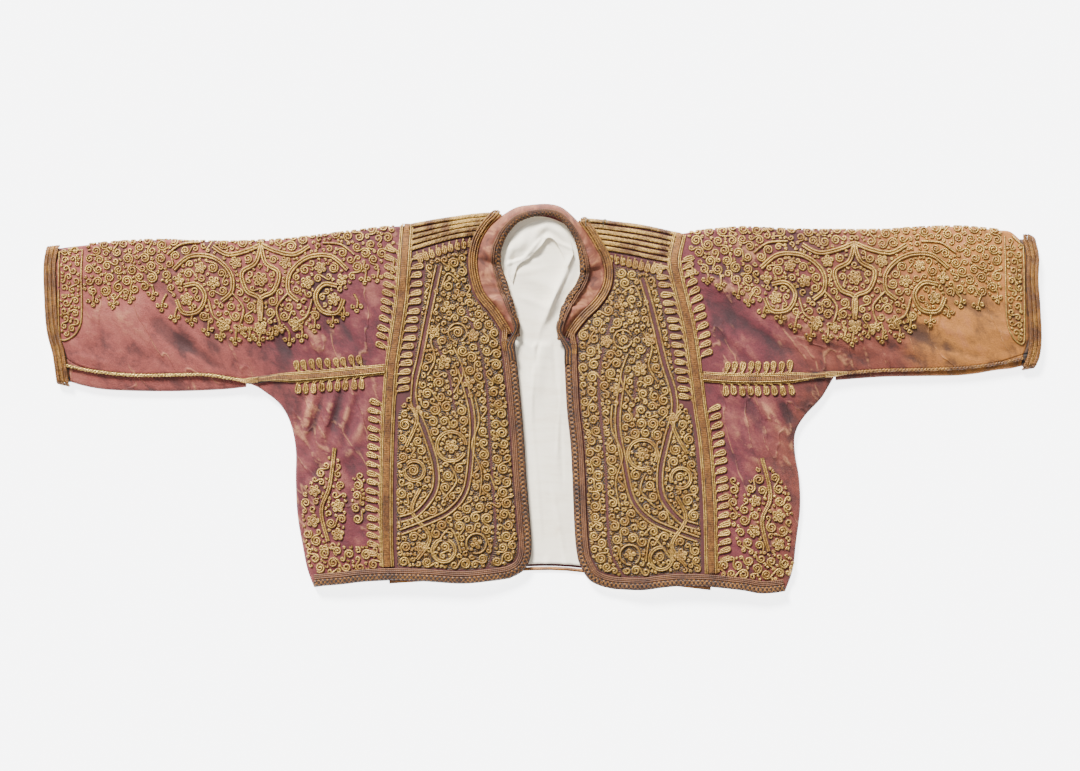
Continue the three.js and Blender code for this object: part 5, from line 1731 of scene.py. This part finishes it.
def side_work(side, seed):
    """A flowering stem among coils, and smaller patches of coils."""
    work = Work(seed)
    for k, outline in enumerate(PANELS[side]):
        shape = dense([*outline, outline[0]], 10)[0][:-1]
        keep, taken = [], []
        middle = shape.mean(0)
        if k == 0:
            stem = flowing(np.array([outline[0], middle + [4, 20], middle + [-6, -10],
                                     middle + [2, -46]]))
            strands(work, stem, 2, 1.25, 1.3)
            keep.append((stem, 2.9))
            for dx, dy, r in ((14, -4, 8.5), (-16, -22, 8.5), (14, -38, 8.0), (-14, 14, 7.5)):
                flower(work, middle + [dx, dy], r, 5, work.rng.uniform(0, 6))
                taken.append((middle[0] + dx, middle[1] + dy, r + 0.3))
        fill(work, shape, keep, taken, 8000, gap=0.2)
    return work


def surface_strand(points, normals, row, column, lift):
    """Points of a gridded surface, at fractions of its rows and columns, moved out."""
    i = np.clip(row, 0, points.shape[0] - 1.001)
    j = np.clip(column, 0, points.shape[1] - 1.001)
    i0, j0 = i.astype(int), j.astype(int)
    f, t = (i - i0)[:, None], (j - j0)[:, None]
    return (blend(points, i0, j0, f, t)
            + blend(normals, i0, j0, f, t) * np.broadcast_to(lift, len(i))[:, None])


def collar_work(top, seed):
    """A plait on the collar's free edge and two cords beside it."""
    dark, gold, rosy = Work(seed), Work(seed), Work(seed + 1)
    normals = normals_of(top)
    rows = top.shape[0] - 1
    last = top.shape[1] - 1
    length = np.linalg.norm(np.diff(top[:, last // 2], axis=0), axis=1).sum()
    row = np.linspace(0, rows, int(length / 1.4))
    run = row / rows * length
    for k in range(4):
        a = 2 * math.pi * (run / 9.6 + k / 4)
        column = last * (0.70 + 0.23 * np.sin(a))
        lift = 0.3 + 0.8 * (0.5 + 0.5 * np.sin(2 * a + k * math.pi))
        (gold if k % 2 else dark).hang(surface_strand(top, normals, row, column, lift), 1.15)
    # the plait runs down over the collar's tips into the edge braids
    for side, end, step in (("left", 0, 1), ("right", rows, -1)):
        edge = shifted(braid_lines(side)["edge"], -3.2 * SIDES[side])
        foot = draped(edge[-10:-2:3], 4.4)[::-1]
        for k in range(5):
            tip = surface_strand(top, normals, end + np.array([13.0, 6.0]) * step,
                                 np.full(2, last * (0.30 + 0.16 * k)), 1.9)
            reach = [(k - 2) * 1.9 * SIDES[side], 0, 0]
            bridge, run = dense(np.vstack([tip, foot + reach]))
            at = np.linspace(0, run[-1], int(run[-1] / 2.4) + 1)
            (gold if k % 2 else dark).hang(read_off(bridge, run, at), 1.1)
    row = np.linspace(0, rows, int(length / 3.0))
    for place in (0.10, 0.28):
        rosy.hang(surface_strand(top, normals, row, np.full(len(row), last * place), 0.4), 1.0)
    return dark, gold, rosy


# ---------------------------------------------------------------- add-on
def finished(obj, slot, *nodes):
    """A finished piece rides on the garment's one body and takes the place of its solids."""
    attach(obj, "root")
    if nodes:
        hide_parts(*nodes)


def stitched(work, name, finish, slot, sides=5):
    """A finished piece of couched work."""
    finished(work.finish(name, finish, sides), slot)


def edging(works, name):
    """The three finishes of an edge: the plait's two, and that of the cords beside it."""
    for work, part, finish in zip(works, ("dark_strands", "gold_strands", "cords"),
                                  ("dark", "bronze", "rosy")):
        stitched(work, f"{name}_{part}", finish, "braid")


def creased(obj):
    """Marks how high each point lies on the cloth's creases, for the velvet's painted shade in the
    troughs and its painted highlight on the tops.
    """
    mesh = obj.data
    co = np.empty(len(mesh.vertices) * 3, np.float32)
    mesh.vertices.foreach_get("co", co)
    plan = co.reshape(-1, 3)[:, :2] / MM - SHIFT
    mark(mesh, "crease", GROUND.look(GROUND.relief, *plan.T))


def cloth(obj, points, held="laid", rests_on=(), **more):
    """Marks each point of the sheet with how high it lies on the cloth's creases."""
    p = np.asarray(points, float) * MM
    creased(obj)
    list(rests_on)


class JacketSizes(bpy.types.PropertyGroup):
    cord_radius: bpy.props.FloatProperty(
        name="Cord radius", description="Half the thickness of the couched gilt cord",
        default=0.00126, min=0.0004, max=0.003, unit="LENGTH")
    cord_sides: bpy.props.IntProperty(
        name="Cord sides", description="How many faces run round a couched cord",
        default=4, min=3, max=8)


class JacketFloor(bpy.types.PropertyGroup):
    colour: bpy.props.FloatVectorProperty(
        name="Surface colour", description="Colour of the surface that the jacket lies on",
        default=(0.95, 0.95, 0.95), min=0, max=1, size=3, subtype="COLOR")
    light: bpy.props.FloatProperty(
        name="Light", description="Strength of the soft light from above and behind",
        default=14.0, min=0, max=40)
    fill: bpy.props.FloatProperty(
        name="Fill", description="Strength of the light from all round",
        default=0.75, min=0, max=5)


class JACKET_OT_cloth(bpy.types.Operator):
    """Back, side panels, fronts, yokes and sleeves, each a thin sheet"""
    bl_idname = "jacket.cloth"
    bl_label = "Cloth panels"

    def execute(self, context):
        back, points = make_back()
        finished(back, "velvet", "back_panel")
        cloth(back, points)
        for side in SIDES:
            sleeve, band, rows = make_sleeve(side)
            finished(sleeve, "rose_velvet", f"sleeve_{side}")
            cloth(sleeve, rows)
            finished(band, "braid", f"cuff_band_{side}")
            panel, rows = make_side(side)
            finished(panel, "velvet", f"side_panel_{side}")
            cloth(panel, rows, "folded")
            front, rows = make_front(side)
            finished(front, "embroidered_velvet", f"front_{side}")
            cloth(front, rows, rests_on=["back_lining_cloth"])
            yoke, rows = make_yoke(side)
            finished(yoke, "embroidered_velvet", f"yoke_{side}")
            cloth(yoke, rows, "folded")
        return {"FINISHED"}


class JACKET_OT_lining(bpy.types.Operator):
    """Cotton back lining and the rumpled facing inside the neck"""
    bl_idname = "jacket.lining"
    bl_label = "Lining and facing"

    def execute(self, context):
        lining, points = make_lining()
        finished(lining, "cotton", "back_lining")
        cloth(lining, points, rests_on=["back_panel_cloth"])
        facing, points = make_facing()
        finished(facing, "cotton", "neck_facing")
        cloth(facing, points, rests_on=["back_lining_cloth"])
        return {"FINISHED"}


class JACKET_OT_collar(bpy.types.Operator):
    """Stand collar folded inward, with the ground of its braid"""
    bl_idname = "jacket.collar"
    bl_label = "Collar"

    def execute(self, context):
        band, braid, points = make_collar()
        finished(band, "velvet", "collar")
        cloth(band, points)
        finished(braid, "braid", "collar_braid")
        return {"FINISHED"}


class JACKET_OT_braids(bpy.types.Operator):
    """Grounds of the braids on the seams and edges"""
    bl_idname = "jacket.braids"
    bl_label = "Braids"

    def execute(self, context):
        for side in SIDES:
            lines = braid_lines(side)
            for kind, node in (("seam", "seam_braid"), ("underarm", "underarm_braid"),
                               ("edge", "edge_braid"), ("neck", "neck_braid"),
                               ("sleeve", "sleeve_seam_cord")):
                made = ribbon(f"{node}_{side}_web", lines[kind], kind, "web")
                finished(made, "braid", f"{node}_{side}")
        return {"FINISHED"}


class JACKET_OT_fronts(bpy.types.Operator):
    """Couched cord of the fronts and the plaited gilt of the yokes"""
    bl_idname = "jacket.fronts"
    bl_label = "Couching of the fronts"

    def execute(self, context):
        sides = context.scene.jacket_sizes.cord_sides
        for seed, side in enumerate(SIDES):
            stitched(front_work(side, 11 + seed), f"front_{side}_couching", "gilt",
                     "gilt_cord", sides)
            stitched(yoke_work(side, 31 + seed), f"yoke_{side}_plaits", "old", "gilt_cord",
                     sides)
        return {"FINISHED"}


class JACKET_OT_arms(bpy.types.Operator):
    """Couched cord of the sleeves, cuffs and side panels"""
    bl_idname = "jacket.arms"
    bl_label = "Couching of the sleeves"

    def execute(self, context):
        sides = context.scene.jacket_sizes.cord_sides
        for seed, side in enumerate(SIDES):
            stitched(sleeve_work(side, 51 + seed), f"sleeve_{side}_couching", "gilt",
                     "gilt_cord", sides)
            stitched(side_work(side, 71 + seed), f"side_panel_{side}_couching", "gilt",
                     "gilt_cord")
            gilt, dark = cuff_work(side, 91 + seed)
            stitched(gilt, f"cuff_{side}_gilt_plait", "aged", "gilt_cord")
            stitched(dark, f"cuff_{side}_dark_plaits", "bronze", "braid")
            stitched(seam_cord_work(side, 95), f"sleeve_seam_{side}_twist",
                     "bright" if side == "left" else "aged", "gilt_cord")
        return {"FINISHED"}


class JACKET_OT_trims(bpy.types.Operator):
    """Strands, side cords and leaves of the braids"""
    bl_idname = "jacket.trims"
    bl_label = "Strands of the braids"

    def execute(self, context):
        for seed, side in enumerate(SIDES):
            for label, (core, pale) in (
                    ("seam_braid", seam_work(side, 111 + 4 * seed)),
                    ("underarm_braid", underarm_work(side, 131 + 4 * seed))):
                stitched(core, f"{label}_{side}_core", "bronze", "braid")
                stitched(pale, f"{label}_{side}_leaves", "gilt", "gilt_cord")
            edging(edge_work(side, 151 + 4 * seed), f"edge_braid_{side}")
            stitched(neck_work(side, 171), f"neck_braid_{side}_cords", "aged", "gilt_cord")
        edging(collar_work(collar_braid_top(collar_points())[0], 181), "collar_braid")
        return {"FINISHED"}


class JACKET_OT_wire(bpy.types.Operator):
    """Finish of the hooks and of the cord on the back's hem"""
    bl_idname = "jacket.wire"
    bl_label = "Hooks and hem cord"

    def execute(self, context):
        for node, finish in (("hook_left", "wire"), ("hook_right", "wire"),
                             ("hem_cord_back", "bronze")):
            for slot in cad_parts[node].material_slots:
                slot.material = finish_of(finish)
        return {"FINISHED"}


# In metres: half the surface's width and its height; colours; the way to the light.
STAGE = {"half": 6, "floor": -0.0004, "glow": (0.97, 0.98, 1, 1), "room": (0.98, 0.98, 1, 1),
         "sun": (-0.50, 1.10, 0.86)}
# Millimetres: the lens and its sensor. Metres: the spot it is over, the width it shows, and
# the height at which it shows that width.
LENS = {"length": 85, "sensor": 36, "over": (-0.003, 0.0156), "wide": 1.296, "at": 0.012}


class JACKET_OT_stage(bpy.types.Operator):
    """Pale surface, soft light and a camera straight above"""
    bl_idname = "jacket.stage"
    bl_label = "Stage"

    def execute(self, context):
        scene, floor = context.scene, context.scene.jacket_floor
        mesh = bpy.data.meshes.new("surface")
        far, down = STAGE["half"], STAGE["floor"]
        mesh.from_pydata([(-far, -far, down), (far, -far, down), (far, far, down),
                          (-far, far, down)], [], [(0, 1, 2, 3)])
        mesh.materials.append(material("pale surface", lambda g: g.surface(
            Base_Color=(*floor.colour, 1), Roughness=0.9, Emission_Color=STAGE["glow"],
            Emission_Strength=4.0)))
        linked("surface", mesh)

        scene.world = bpy.data.worlds.new("soft room")
        scene.world.use_nodes = True
        room = scene.world.node_tree.nodes["Background"].inputs
        room["Color"].default_value = STAGE["room"]
        room["Strength"].default_value = floor.fill
        lamp = bpy.data.lights.new("key", "SUN")
        lamp.angle, lamp.energy = math.radians(15), floor.light
        key = linked("key", lamp)
        key.rotation_mode = "QUATERNION"
        key.rotation_quaternion = Vector(STAGE["sun"]).to_track_quat("Z", "Y")

        lens = bpy.data.cameras.new("camera")
        lens.lens, lens.sensor_width = LENS["length"], LENS["sensor"]
        scene.camera = linked("camera", lens)
        scene.camera.location = (*LENS["over"],
                                 LENS["wide"] * LENS["length"] / LENS["sensor"] + LENS["at"])
        return {"FINISHED"}


class JACKET_PT_panel(bpy.types.Panel):
    """Sizes and pieces of the jacket"""
    bl_idname = "JACKET_PT_panel"
    bl_label = "Jacket"
    bl_space_type = "VIEW_3D"
    bl_region_type = "UI"
    bl_category = "Jacket"

    def draw(self, context):
        layout = self.layout
        for group in (context.scene.jacket_sizes, context.scene.jacket_floor):
            for name in group.bl_rna.properties.keys():
                if name not in {"rna_type", "name"}:
                    layout.prop(group, name)
        for step in STEPS:
            layout.operator(step.bl_idname)


STEPS = (JACKET_OT_cloth, JACKET_OT_lining, JACKET_OT_collar, JACKET_OT_braids,
         JACKET_OT_fronts, JACKET_OT_arms, JACKET_OT_trims, JACKET_OT_wire, JACKET_OT_stage)
CLASSES = (JacketSizes, JacketFloor, *STEPS, JACKET_PT_panel)


def register():
    for cls in CLASSES:
        bpy.utils.register_class(cls)
    bpy.types.Scene.jacket_sizes = bpy.props.PointerProperty(type=JacketSizes)
    bpy.types.Scene.jacket_floor = bpy.props.PointerProperty(type=JacketFloor)


def unregister():
    del bpy.types.Scene.jacket_sizes
    del bpy.types.Scene.jacket_floor
    for cls in reversed(CLASSES):
        bpy.utils.unregister_class(cls)


def main():
    register()
    for step in STEPS:
        group, name = step.bl_idname.split(".")
        getattr(getattr(bpy.ops, group), name)()


if __name__ == "__main__":
    main()
